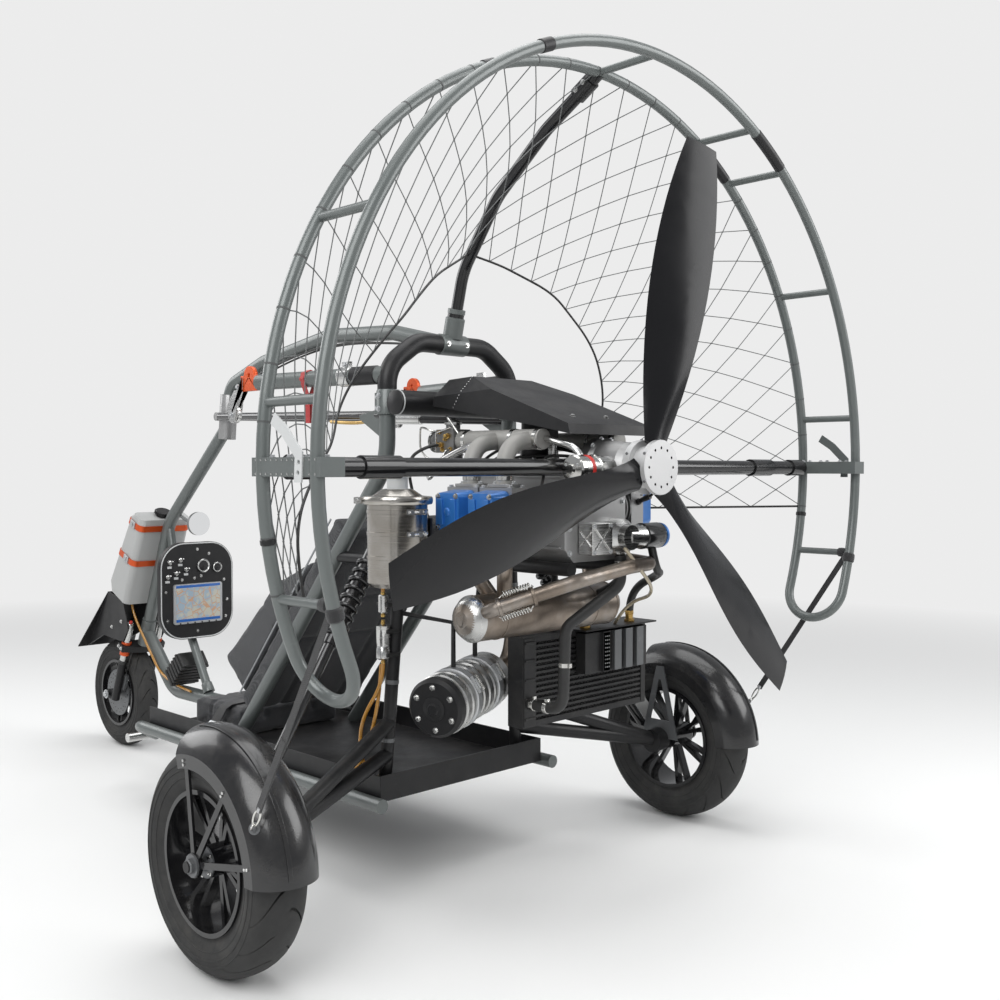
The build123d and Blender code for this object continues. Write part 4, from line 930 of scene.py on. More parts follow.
# The seat back's slope, from foot to top, as the uprights lie
SLOPE_FOOT = at(0, 0.88, 0.245)
SLOPE_TOP = at(0, 0.158, 1.085)
SLOPE = (SLOPE_TOP - SLOPE_FOOT).normalized()
SLOPE_OUT = SLOPE.cross(RIGHT).normalized()


def on_slope(x, along, lift):
    """Place on the seat back's slope: across, up along it, and out from the uprights' axes."""
    return SLOPE_FOOT + RIGHT * x + SLOPE * along + SLOPE_OUT * lift


class TRIKE_OT_seat(bpy.types.Operator):
    """Makes the padded seat, blown up as cloth, with its sewn channels"""

    bl_idname = "trike.seat"
    bl_label = "Seat"

    def execute(self, context):
        setup = sizes()
        across = [(on_slope(0, along, 0), SLOPE, 0.0) for along in (0.42, 0.58, 0.74, 0.9)]
        upright = [(on_slope(side * 0.105, 0, 0), RIGHT, 0.0) for side in SIDES]
        base = [(at(x, 1.055, 0.3), RIGHT, 0.29) for x in (-0.09, 0.09)] + [(at(0, 1.1, 0.3), FORWARD, 0.29)]
        bolster = [(on_slope(0, along, 0), SLOPE, 0.0) for along in (0.38, 0.52, 0.66)]
        # name, node, voxel, drawn in, fill, channel lines, their depth
        table = (("seat_back_pad", "seat_back", setup.pad_voxel, 0.006, 0.6, across + upright, 0.007),
                 ("seat_base_pad", "seat_base", 0.006, 0.007, 0.7, base, 0.008),
                 ("seat_side_pads", "seat_bolsters", 0.006, 0.004, 0.6, bolster, 0.004))
        for name, node, voxel, shrink, fill, lines, depth in table:
            piece = pad_copy(name, node, shrink)
            swollen(piece, voxel, 4.0, min(setup.pad_swell, shrink + 0.004))
            press_lines(piece.data, lines, depth, 0.018)
            low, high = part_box(node)
            for vert in piece.data.vertices:
                for axis in range(3):
                    vert.co[axis] = min(max(vert.co[axis], low[axis]), high[axis])
            piece.data.polygons.foreach_set("use_smooth", [True] * len(piece.data.polygons))
            piece.data.materials.clear()
            piece.data.materials.append(bpy.data.materials["Seat Cloth"])
            finer = piece.modifiers.new("Finer", "SUBSURF")
            finer.levels = finer.render_levels = 1
            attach(piece, "chassis")
            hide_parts(node)
        return {"FINISHED"}


# Cage net

# Inner rope from the post down the right, and down the left, as (x, ahead, up)
NET_CROWN = ((0.0, 0.09, 1.635), (0.06, 0.045, 1.612), (0.115, 0.02, 1.587), (0.209, -0.02, 1.543),
             (0.274, -0.03, 1.484), (0.329, -0.04, 1.429), (0.387, -0.03, 1.367), (0.446, 0.0, 1.281),
             (0.47, 0.03, 1.206))
NET_RIGHT_FOOT = ((0.486, 0.025, 1.08), (0.49, 0.0, 0.955))
NET_LEFT_FOOT = ((-0.5, 0.01, 1.13), (-0.62, -0.12, 1.09), (-0.76, -0.27, 1.04), (-0.845, -0.352, 0.98),
                 (-0.852, -0.358, 0.9), (-0.838, -0.36, 0.82))
NET_RIGHT_END = -7.0
NET_LEFT_END = 196.0


def drawn_line(points):
    """Places along the NURBS line of some control points, as Blender draws it."""
    curve = bpy.data.curves.new("guide", "CURVE")
    curve.dimensions = "3D"
    curve.resolution_u = 8
    add_spline(curve, points, True)
    holder = bpy.data.objects.new("guide", curve)
    mesh = bpy.data.meshes.new_from_object(holder)
    places = [vert.co.copy() for vert in mesh.vertices]
    bpy.data.objects.remove(holder)
    bpy.data.meshes.remove(mesh)
    bpy.data.curves.remove(curve)
    return places


def along_line(points, share):
    """Point at a share of a line's length."""
    lengths = [(b - a).length for a, b in zip(points, points[1:])]
    left = share * sum(lengths)
    for (a, b), length in zip(zip(points, points[1:]), lengths):
        if left <= length:
            return a.lerp(b, left / length)
        left -= length
    return points[-1]


def on_hoop(angle, ahead=FRONT_HOOP, radius=HOOP_RADIUS):
    """Place on a cage hoop, by its angle from the right."""
    turn = radians(angle)
    return at(radius * cos(turn), ahead, HUB_UP + radius * sin(turn))


def hoop_run(angle):
    """Direction along a cage hoop at an angle."""
    return Vector((-sin(radians(angle)), 0, cos(radians(angle))))


class TRIKE_OT_net(bpy.types.Operator):
    """Ties the net between the front hoop and its inner rope"""

    bl_idname = "trike.net"
    bl_label = "Cage net"

    def execute(self, context):
        setup = sizes()
        rows = setup.net_rows
        right_rope = [at(*place) for place in NET_CROWN + NET_RIGHT_FOOT]
        left_rope = [at(-x, ahead, up) for x, ahead, up in NET_CROWN] + [at(*place) for place in NET_LEFT_FOOT]
        right, left = drawn_line(right_rope), drawn_line(left_rope)

        def inner(angle):
            if angle <= 90:
                return along_line(right, (90 - angle) / (90 - NET_RIGHT_END))
            return along_line(left, (angle - 90) / (NET_LEFT_END - 90))

        def place(angle, row):
            share = (row / rows) ** 0.94
            return on_hoop(angle).lerp(inner(angle), share)

        step = degrees(setup.net_step)
        first = NET_RIGHT_END - 8 * step
        cords, knots = [], set()
        count = int((NET_LEFT_END - first + 8 * step) / step) + 1
        for lean in SIDES:
            for index in range(count):
                line = []
                for row in range(rows + 1):
                    angle = first + (index + lean * row / 2) * step
                    if NET_RIGHT_END - 0.01 <= angle <= NET_LEFT_END + 0.01:
                        spot = place(angle, row)
                        line.append(spot)
                        if 0 < row < rows:
                            knots.add(tuple(round(part, 5) for part in spot))
                if len(line) > 1:
                    cords.append(line)
        line_piece("net_cords", cords, setup.net_cord / 2, "Net Cord", sides=1)
        edges = [[place(end, row) for row in range(rows + 1)] for end in (NET_RIGHT_END, NET_LEFT_END)]
        line_piece("net_rope", [right_rope, left_rope], setup.net_rope / 2, "Hose Rubber", smooth=True, sides=2)
        line_piece("net_edges", edges, setup.net_rope / 2, "Hose Rubber", sides=2)
        mesh = bmesh.new()
        for knot in sorted(knots):
            bmesh.ops.create_icosphere(mesh, subdivisions=1, radius=setup.net_cord * 0.95,
                                       matrix=Matrix.Translation(knot))
        add_piece("net_knots", mesh, "Net Cord")
        angles = [NET_RIGHT_END + step * part for part in range(int((NET_LEFT_END - NET_RIGHT_END) / step) + 1)]
        ties = [(on_hoop(angle) - hoop_run(angle) * 0.002, hoop_run(angle), [(0, 12.9), (4, 12.9)])
                for angle in angles if abs(cos(radians(angle))) < 0.998]
        turned_piece("net_ties", "Net Tie", ties, 14)
        return {"FINISHED"}


class TRIKE_OT_cage_fittings(bpy.types.Operator):
    """Makes the sleeves, collars, rivets and bolts of the cage"""

    bl_idname = "trike.cage_fittings"
    bl_label = "Cage fittings"

    def execute(self, context):
        sleeves = [[on_hoop(angle, ahead) for angle in range(56, 65, 2)] for ahead in (FRONT_HOOP, REAR_HOOP)]
        line_piece("cage_sleeves", sleeves, 0.0137, "Satin Black", sides=6)
        collars = []
        for angle, ahead, long in ((188.4, FRONT_HOOP, 12), (-8.4, FRONT_HOOP, 12),
                                   (113.0, FRONT_HOOP, 36), (113.0, REAR_HOOP, 36)):
            run = hoop_run(angle)
            collars.append((on_hoop(angle, ahead) - run * (long / 2 * MM), run, collar(long, 12.6, 14.4, 2)))
        turned_piece("cage_collars", "Satin Black", collars, 24)
        # rivets of the clamp blocks, with a gap in the lower row
        rivets = [(at(side * 0.936, -0.352 - 0.0165 * step, HUB_UP + up), RIGHT * side)
                  for side in SIDES for step in range(12) for up in (-0.0125, 0.0125)
                  if not -0.505 < -0.352 - 0.0165 * step < -0.468 or up > 0]
        bolts_piece("block_rivets", rivets, 2.2, "Bright Alloy", height=1.2, washer=False)
        bolts = [(at(side * (0.8865 + 0.012 * step), ahead, HUB_UP + 0.017), UP)
                 for side in SIDES for ahead in (-0.385, -0.44, -0.5) for step in (0, 3)]
        bolts_piece("block_bolts", bolts, 4.5, "Zinc Grey")
        tint("cage_blocks", "Pale Grey", lambda face: abs(face.center.x) > 0.9362)
        # grey tee on the arch with the post's socket
        crown = at(0, 0.158, 1.4)
        post_up = (at(0, 0.11, 1.59) - crown).normalized()
        turned_piece("arch_tee", "Frame Grey", [
            (crown - RIGHT * 0.046, RIGHT, collar(92, 25.2, 28.2, 2)),
            (crown + post_up * 0.02, post_up, [(0, 26.2), (52, 26.2), (55, 22.2)]),
            (crown + post_up * 0.084, post_up, collar(13, 22.1, 23.6)),
        ])
        bolts = [(crown + Vector((x, -0.0282, 0)), -FORWARD) for x in (-0.033, 0.033)]
        top = at(0, FRONT_HOOP, HUB_UP + HOOP_RADIUS)
        fall = (at(0, -0.19, 1.9) - top).normalized()
        bolts += [(top + fall * along + RIGHT * side * 0.0205, RIGHT * side)
                  for side in SIDES for along in (0.038, 0.064)]
        bolts_piece("post_bolts", bolts, 4.5, "Bright Alloy")
        return {"FINISHED"}


class TRIKE_OT_frame_fittings(bpy.types.Operator):
    """Makes the collars, gussets, clamps and hanging fittings of the overhead frame"""

    bl_idname = "trike.frame_fittings"
    bl_label = "Frame fittings"

    def execute(self, context):
        collars, gussets, clamps, hangers = (bmesh.new() for part in range(4))
        bolts, sleeves, ferrules = [], [], []
        for side in SIDES:
            outward = RIGHT * side
            leg = at(side * 0.22, 0.158, 1.205)
            add_turned(collars, leg, UP, [(0, 21.2), (3, 27.5), (62, 27.5), (66, 25.2)])
            add_box(collars, leg + Vector((-side * 0.002, 0.03, 0.034)), (0.02, 0.022, 0.05))
            bolts += [(leg + Vector((side * 0.008, 0.03, up)), outward) for up in (0.02, 0.048)]
            bolts += [(leg + Vector((side * 0.0272, 0, up)), outward) for up in (0.016, 0.05)]
            add_plate(gussets, [(19, 20), (112, 4), (108, -8), (19, -58)], 0.006,
                      (leg + RIGHT * (side * 0.001 - 0.003), FORWARD, UP))
            start = at(side * 0.22, 0.158, 1.31)
            run = (at(side * 0.3, 0.625, 1.31) - start).normalized()
            sleeves.append((start + run * 0.03, run, collar(86, 22.2, 24.6, 3)))
            add_turned(clamps, start + run * 0.12, run, collar(38, 22.2, 26.2, 2))
            add_box(clamps, start + run * 0.139 + UP * 0.031, (0.012, 0.03, 0.018))
            bolts.append((start + run * 0.139 + UP * 0.032 + outward * 0.006, outward))
            # pulley and shackle in front of the hang fitting
            nose = at(side * 0.3, 0.709, 1.31)
            for step in SIDES:
                add_plate(hangers, [(-12, -18), (30, -18), (66, -60), (58, -104),
                                    (26, -104), (14, -50), (-12, 16)], 0.003,
                          (nose + RIGHT * (step * 0.0095 - 0.0015), FORWARD, UP))
            add_turned(hangers, nose + Vector((-0.008, 0.042, -0.086)), RIGHT,
                       [(0, 24), (4, 22), (8, 19.5), (12, 22), (16, 24)], 28)
            bolts += [(nose + Vector((side * 0.011, ahead, up)), outward)
                      for ahead, up in ((0.042, -0.086), (0.01, -0.008))]
            # bright ferrules along the lower braces
            run = (at(side * 0.036, 1.285, 1.245) - leg).normalized()
            ferrules.append((leg + run * 0.32, run, collar(122, 12.2, 15.2, 2)))
        add_piece("upright_collars", collars, "Frame Grey")
        add_piece("upright_gussets", gussets, "Frame Grey", bevel=0.001)
        turned_piece("arm_sleeves", "Satin Black", sleeves)
        add_piece("arm_clamps", clamps, "Bright Alloy", bevel=0.0008)
        add_piece("hang_pulleys", hangers, "Bright Alloy", bevel=0.0006)
        bolts_piece("frame_bolts", bolts, 5, "Zinc Grey")
        # cross tube behind the arch, with its end caps
        turned_piece("arch_cross_tube", "Satin Black",
                     [(at(-0.244, 0.102, 1.236), RIGHT, collar(488, 26, 31.5, 3))], 36)
        turned_piece("cross_tube_rims", "Pale Grey",
                     [(at(side * 0.232, 0.102, 1.236), RIGHT * side, collar(4, 31.5, 32.5, 0.5))
                      for side in SIDES], 36)
        # red pull strap on the left arm, as (out, up, lean of its face) down each half
        strap = bmesh.new()
        arm = at(-0.267, 0.433, 1.31)
        fall = ((0, 0.0232, (0, 1)), (0.017, 0.016, (1, 1)), (0.0235, 0, (1, 0)), (0.014, -0.022, (1, -0.4)),
                (0.004, -0.045, (1, 0)), (0.003, -0.118, (1, 0)))
        for step in SIDES:
            ribbon(strap, [arm + Vector((step * out, 0, up)) for out, up, lean in fall],
                   [Vector((step * lean[0], 0, lean[1])) for out, up, lean in fall], 0.02, 0.0018)
        add_piece("pull_strap", strap, "Red Webbing")
        turned_piece("brace_ferrules", "Bright Alloy", ferrules, 24)
        # gold braid along the left brace, and cables along the spine
        line_piece("gold_braid", [route((-0.216, 0.25, 1.192), (-0.206, 0.3, 1.19), (-0.2, 0.38, 1.194),
                                        (-0.188, 0.44, 1.198))], 0.0052, "Brass", smooth=True)
        cables = [route((x, 0.26, 1.407), (x, 0.4, 1.428), (x, 0.7, 1.446), (x, 0.98, 1.402), (x, 1.13, 1.36))
                  for x in (-0.01, 0.01)]
        line_piece("spine_cables", cables, 0.003, "Hose Rubber", smooth=True)
        return {"FINISHED"}


# Engine stations: the crank's height, and each cylinder's side and place behind the axle
CRANK_UP = 0.97
CYLINDERS = ((-1, 0.165), (-1, 0.275), (1, 0.13), (1, 0.24))


class TRIKE_OT_engine_fittings(bpy.types.Operator):
    """Makes the bolts, plugs, clamps, linkage and small hoses of the engine"""

    bl_idname = "trike.engine_fittings"
    bl_label = "Engine fittings"

    def execute(self, context):
        ridges, flanges = bmesh.new(), bmesh.new()
        cover_bolts, bolts, plugs, leads = [], [], [], []
        plug_out = (-FORWARD + UP * 0.4).normalized()
        for side, behind in CYLINDERS:
            outward = RIGHT * side
            face = at(side * 0.306, -behind, CRANK_UP)
            # raised facets of the rocker cover
            for ahead in (-0.022, 0.022):
                add_plate(ridges, [(-11, -30), (11, -30), (8, 30), (-8, 30)], side * 0.005,
                          (face + FORWARD * ahead - outward * 0.0005, FORWARD, UP))
            add_turned(ridges, face - outward * 0.0005, outward, [(0, 10), (3, 9), (4.5, 6.5)], 20)
            cover_bolts += [(face + Vector((0, ahead, up)), outward)
                            for ahead in (-0.03, 0.03) for up in (-0.036, 0.036)]
            # flanges on the intake and exhaust ports
            for turn in (1, -1):
                port = at(side * 0.228, -behind, CRANK_UP + turn * 0.0563)
                add_plate(flanges, rounded_outline(50, 78, 14, 3), turn * 0.008, (port, RIGHT, FORWARD))
                bolts += [(port + Vector((0, ahead, turn * 0.008)), UP * turn) for ahead in (-0.03, 0.03)]
            bolts += [(at(side * x, -behind + ahead, CRANK_UP + 0.056), UP)
                      for x in (0.2155, 0.2525) for ahead in (-0.044, 0.044)]
            plug = at(side * 0.236, -behind - 0.052, CRANK_UP + 0.014)
            plugs.append((plug, plug_out, [(0, 8.5), (6, 8.5), (7, 6), (20, 6.5), (30, 8), (42, 7.5)]))
            leads.append([plug + plug_out * 0.04, plug + plug_out * 0.07,
                          plug + Vector((-side * 0.05, -0.035, 0.085)),
                          at(side * 0.108, -behind - 0.01, 1.105), at(side * 0.06, -0.33, 1.098)])
        bevelled(add_piece("cover_facets", ridges, "Cover Blue"), 0.0022, 3)
        bolts_piece("cover_bolts", cover_bolts, 4.6, "Bright Alloy", height=6)
        add_piece("port_flanges", flanges, "Cast Alloy", bevel=0.0012)
        bolts_piece("engine_bolts", bolts, 5.2, "Zinc Grey")
        turned_piece("plug_caps", "Hose Rubber", plugs, 16)
        line_piece("plug_leads", leads, 0.0035, "Hose Rubber", smooth=True)
        self.gear_end()
        self.carburettors()
        self.intake()
        self.oil_tank()
        return {"FINISHED"}

    def gear_end(self):
        """Gearbox bolts, case ribs, starter caps, gear cover and filter."""
        bolts = [(place, -FORWARD) for place in
                 circle(at(0, -0.3808, HUB_UP), 0.0665, [radians(30 * step + 12) for step in range(12)], RIGHT)]
        bolts += [(at(x, -0.355, up), -FORWARD) for x in (-0.096, 0.096) for up in (0.872, 0.93, 0.99)]
        bolts += [(at(x, -behind, 1.0905), UP) for x in (-0.068, 0.068) for behind in (0.04, 0.13, 0.215, 0.33)]
        bolts_piece("case_bolts", bolts, 5, "Zinc Grey")
        ribs = [(at(0, -0.06 - 0.042 * step, 1.0905), (0.13, 0.006, 0.007)) for step in range(7)]
        ribs += [(at(side * 0.1105, -0.187, up), (0.007, 0.31, 0.006))
                 for up in (0.885, 0.915, 1.02, 1.05) for side in SIDES]
        boxes_piece("case_ribs", "Cast Alloy", ribs, 0.0015)
        nose = at(-0.168, -0.432, 1.068)
        turned_piece("starter_caps", "Polished Steel", [
            (nose, -RIGHT, [(-12, 32.5), (2, 32.5), (6, 29), (8, 12), (14, 10)]),
            (nose + RIGHT * 0.06, RIGHT, collar(14, 31.2, 33.5, 2)),
        ])
        turned_piece("starter_band", "Red Plastic", [(nose + RIGHT * 0.03, RIGHT, collar(11, 31.2, 32.5))])
        bolts = [(place, -RIGHT) for place in circle(nose - RIGHT * 0.005, 0.02, (0.5, 2.6, 4.7))]
        bolts_piece("starter_bolts", bolts, 3.4, "Zinc Grey", washer=False)
        # square cover with crossed ribs beside the pump, on the case's end
        middle = at(-0.03, -0.378, 0.905)
        cover = [(middle, (0.072, 0.044, 0.074))]
        for lean in SIDES:
            cover.append((middle - RIGHT * 0.037, (0.004, 0.05, 0.005),
                          (RIGHT, (FORWARD + UP * lean).normalized(), (UP - FORWARD * lean).normalized())))
            cover.append((middle - FORWARD * 0.023, (0.09, 0.005, 0.006),
                          ((RIGHT + UP * lean).normalized(), FORWARD, (UP - RIGHT * lean).normalized())))
        boxes_piece("gear_cover", "Bright Alloy", cover, 0.0018)
        bolts = [(middle + Vector((x, -0.022, up)), -FORWARD) for x in (-0.029, 0.029) for up in (-0.03, 0.03)]
        bolts_piece("gear_cover_bolts", bolts, 4, "Zinc Grey")
        axle = at(0.062, -0.3873, 0.905)
        turned_piece("filter_can", "Gloss Black", [
            (axle + RIGHT * 0.062, RIGHT, [(0, 29.2), (3, 32), (66, 32), (70, 29.2)])], 36)
        turned_piece("filter_end", "Cover Blue", [
            (axle + RIGHT * 0.134, RIGHT,
             [(0, 29.2), (0.5, 31.2), (8, 30.6), (12, 24), (13, 12)])], 36)

    def carburettors(self):
        """Rings, unions, linkage, pipes and jets of the carburettors, and the bands of the intake runners."""
        rings, unions, rods, bands, pipes, jets = ([] for part in range(6))
        for side in SIDES:
            outward = RIGHT * side
            body = at(side * 0.138, -0.0017, 1.138)
            rings += [(body + UP * up, UP, [(-3, 23.8), (-2, radius), (2, radius), (3, 23.8)])
                      for up, radius in ((-0.034, 26.2), (-0.048, 25.8), (-0.062, 25.4))]
            rings.append((body + UP * 0.04, UP, [(0, 18), (1, 21.5), (7, 21.5), (12, 14), (18, 6)]))
            rings.append((body + FORWARD * 0.056, FORWARD, [(0, 25), (1, 28.5), (8, 28.5), (9, 23.5)]))
            unions += [(place, out, [(-1, 7.5), (6, 7.5), (6.5, 5), (14, 5), (15, 4)])
                       for place, out in ((body + Vector((side * 0.028, 0.01, -0.01)), outward),
                                          (body + Vector((side * 0.028, -0.014, 0.012)), outward),
                                          (body - UP * 0.07, -UP))]
            rods.append(route((0.036, 0.024, -0.026), (0.036, 0.024, 0.02), (0.034, -0.03, 0.034),
                              side=side, start=body))
            pipes += [route(*line, side=side, start=body) for line in (
                ((0.027, 0.018, 0.022), (0.05, 0.022, 0.024), (0.052, 0.06, 0.036), (0.044, 0.076, 0.03),
                 (0.042, 0.078, -0.04), (0.02, 0.04, -0.052)),
                ((0.01, 0, 0.054), (0.022, 0.004, 0.066), (0.046, -0.034, 0.052), (0.04, -0.062, 0.018)),
                ((0.027, -0.022, -0.02), (0.052, -0.024, -0.022), (0.054, -0.02, -0.056), (0.02, -0.012, -0.06)))]
            jets += [(body + Vector((side * 0.0275, ahead, up)), outward,
                      [(-1, 5.2), (4, 5.2), (4.5, 3.6), (9, 3.4)])
                     for ahead, up in ((0.018, 0.022), (-0.022, -0.02), (0.024, -0.008), (-0.004, 0.004),
                                       (0.006, -0.022))]
            bands += [(at(side * 0.138, -behind, 1.138), FORWARD, collar(12, 24.2, 25.6, start=-6))
                      for behind in (0.06, 0.22, 0.3)]
        bands += [(at(side * 0.228, -behind, CRANK_UP + 0.078), UP, collar(12, 20.2, 21.6, start=-6))
                  for side, behind in CYLINDERS]
        turned_piece("carburettor_rings", "Bright Alloy", rings, 28)
        turned_piece("carburettor_unions", "Brass", unions, 6, smooth=False)
        line_piece("carburettor_linkage", rods, 0.0024, "Bright Alloy", sides=2)
        line_piece("carburettor_pipes", pipes, 0.0026, "Polished Steel", smooth=True)
        turned_piece("carburettor_jets", "Brass", jets, 6, smooth=False)
        turned_piece("intake_bands", "Polished Steel", bands, 28)

    def intake(self):
        """Bright pipes, fuel lines, wires, breather and the intake cover's rivets and screws."""
        # diagonal pipe past the left carburettor, and the elbow by the starter
        line_piece("bright_pipes", [
            route((-0.215, -0.004, 1.046), (-0.218, 0.01, 1.062), (-0.205, -0.06, 1.1), (-0.19, -0.128, 1.127),
                  (-0.16, -0.15, 1.134)),
            route((-0.132, -0.318, 1.138), (-0.15, -0.372, 1.128), (-0.15, -0.42, 1.118), (-0.146, -0.432, 1.097)),
        ], 0.0085, "Bright Alloy", smooth=True, sides=5)
        fuel = [route((0.18, 0.008, 1.128), (0.212, 0.012, 1.126), (0.225, 0.08, 1.09), (0.15, 0.124, 0.96),
                      (0.14, 0.13, 0.853), side=side) for side in SIDES]
        line_piece("fuel_lines", fuel, 0.0042, "Hose Rubber", smooth=True)
        wires = [route((x, -0.31, 1.1 + lift), (x - 0.03, -0.22, 1.128 + lift), (x - 0.06, -0.08, 1.112 + lift),
                       (x - 0.05, 0.03, 1.05), (x - 0.06, 0.128, 0.853))
                 for x, lift in ((0.02, 0.0), (0.034, 0.006), (-0.004, 0.01))]
        line_piece("engine_wires", wires, 0.0038, "Hose Rubber", smooth=True)
        turned_piece("breather", "Bright Alloy", [
            (at(-0.045, -0.255, 1.09), UP, [(-1, 16), (6, 16), (7, 11), (34, 11), (35, 14), (42, 14), (45, 11)])], 24)
        rivets = []
        for side in SIDES:
            rivets += [(at(side * 0.15, -0.016 - 0.0052 * step, 1.221 + 0.0075 * step), RIGHT * side)
                       for step in range(5)]
            rivets += [(at(side * (0.1455 - 0.0062 * step), -0.0395, 1.2605 + 0.0062 * step), RIGHT * side + UP)
                       for step in range(7)]
        bolts_piece("cover_rivets", rivets, 1.9, "Bright Alloy", height=1.2, washer=False)
        # the cover's top slopes down to the rear, and the screws stand square to it
        slope = at(0, -0.04, 1.3) - at(0, -0.398, 1.172)
        screws = [(at(x, -0.345, 1.191), RIGHT.cross(slope)) for x in (-0.075, 0.045)]
        bolts_piece("cover_screws", screws, 4.8, "Bright Alloy")

    def oil_tank(self):
        """Lid clamp, straps, ribbed cap and mounting studs of the oil tank."""
        foot = at(-0.4, -0.1, 0.8)
        band, cap = bmesh.new(), bmesh.new()
        add_turned(band, foot, UP, [(186.5, 69.2), (188.5, 79), (191.5, 80.8), (197, 81.5),
                                    (202.5, 80.8), (205.5, 79), (207.5, 60.5)], 56)
        left, near = Vector((-0.71, 0.704, 0)), Vector((-0.704, -0.71, 0))
        add_box(band, foot + left * 0.088 + UP * 0.197, (0.02, 0.03, 0.014), (left, near, UP))
        for up in (0.068, 0.122, 0.172):
            add_turned(band, foot + UP * (up - 0.005), UP, collar(10, 68.6, 70.2), 56)
        add_piece("tank_bands", band, "Tank Steel")
        bolts_piece("band_bolt", [(foot + left * 0.09 + near * 0.015 + UP * 0.197, near)], 5.5, "Bright Alloy",
                    height=12)
        add_ribs(cap, foot + UP * 0.257, 24, 0.0295, (0.005, 0.0036, 0.016), (RIGHT, FORWARD, UP))
        add_turned(cap, foot + UP * 0.2635, UP, [(0, 30), (2, 28.5), (6.5, 20.5)])
        add_piece("tank_cap", cap, "Pale Grey", bevel=0.0006)
        studs, blocks = bmesh.new(), []
        for up in (0.868, 0.922, 0.972):
            back = at(-0.404, -0.1772, up)
            add_turned(studs, back - RIGHT * 0.026, RIGHT, [(0, 3.6), (52, 3.6)], 12)
            add_turned(studs, back + RIGHT * 0.014, RIGHT, [(0, 6.8), (7, 6.8)], 6)
            blocks += [(back + Vector((x, 0.0038, 0)), (0.012, 0.0155, 0.012)) for x in (-0.018, 0.006)]
        add_piece("tank_studs", studs, "Bright Alloy", smooth=False)
        boxes_piece("stud_blocks", "Zinc Dark", blocks, 0.002)
        tint("oil_tank", "Pale Grey", lambda face: face.center.z > 1.0235)


class TRIKE_OT_exhaust_fittings(bpy.types.Operator):
    """Makes the springs, clamps, bolts and straps of the exhaust"""

    bl_idname = "trike.exhaust_fittings"
    bl_label = "Exhaust fittings"

    def execute(self, context):
        knee = at(-0.262, -0.28, 0.752)
        run = (at(-0.12, -0.4, 0.812) - knee).normalized()
        springs = []
        for lift in (-0.0265, 0.0265):
            start = knee + run * 0.012 + UP * lift
            springs.append([knee + run * 0.008 + UP * lift * 0.8, start + run * 0.004]
                           + coil_line(start + run * 0.004, start + run * 0.07, 0.0068, 11)
                           + [start + run * 0.074, knee + run * 0.09 + UP * lift * 0.8])
        line_piece("exhaust_springs", springs, 0.0016, "Polished Steel", sides=2)
        rings = bmesh.new()
        for along in (0.004, 0.086):
            add_turned(rings, knee + run * along, run, collar(9, 17.2, 22.5), 28)
        for x in (-0.268, -0.2, 0.12, 0.196):
            add_turned(rings, at(x, -0.205, 0.722), RIGHT, collar(6, 54, 55.5), 40)
        add_piece("exhaust_rings", rings, "Exhaust Steel")
        turned_piece("collector_dome", "Brushed Steel", [
            (at(-0.2995, -0.205, 0.722), RIGHT, [(-0.5, 18), (0.5, 21.5), (10, 41.2), (30, 55.1),
                                                 (36, 55.1), (36.2, 54.1)])], 40)
        self.silencer(at(-0.29, -0.1, 0.5), at(-0.012, 0.0, 0.528))
        return {"FINISHED"}

    def silencer(self, cap, far):
        """Cap bolts, boss, straps with their clips, and hangers of the silencer between its two ends."""
        along = (far - cap).normalized()
        bolts = [(place, -along) for place in circle(cap + along * 0.0005, 0.052, turns(6), *square_to(along))]
        bolts_piece("silencer_bolts", bolts, 5.2, "Bright Alloy")
        turned_piece("silencer_boss", "Satin Black", [
            (cap, -along, [(-1, 30), (2, 29), (4, 20), (5, 20), (6, 15), (10, 12)])])
        outward = -FORWARD * 0.8 + UP * 0.35 - RIGHT * 0.28
        outward = (outward - along * outward.dot(along)).normalized()
        axes = (along, outward, along.cross(outward))
        straps, clips, springs, hangers = [], [], [], []
        # each strap: place along the silencer, the hanger's rise and its upper end
        for place, rise, hold in ((0.088, 0.11, at(-0.2, 0.125, 0.7)), (0.205, 0.0755, at(-0.088, -0.05, 0.82))):
            straps.append((cap + along * place, along, collar(22, 74.2, 75.7)))
            middle = cap + along * (place + 0.011)
            clips += [(middle + outward * 0.078, (0.018, 0.008, 0.044), axes),
                      (middle + outward * 0.083, (0.012, 0.006, 0.026), axes)]
            start = middle + outward * 0.088 - axes[2] * 0.02
            springs.append(coil_line(start, start + axes[2] * 0.04, 0.004, 9))
            hook = middle + UP * 0.0745
            hangers.append([hook, hook + UP * rise, hold])
        turned_piece("silencer_straps", "Zinc Grey", straps, 48)
        boxes_piece("strap_clips", "Zinc Grey", clips, 0.0012)
        line_piece("clip_springs", springs, 0.001, "Polished Steel", sides=2)
        line_piece("silencer_hangers", hangers, 0.006, "Satin Black")


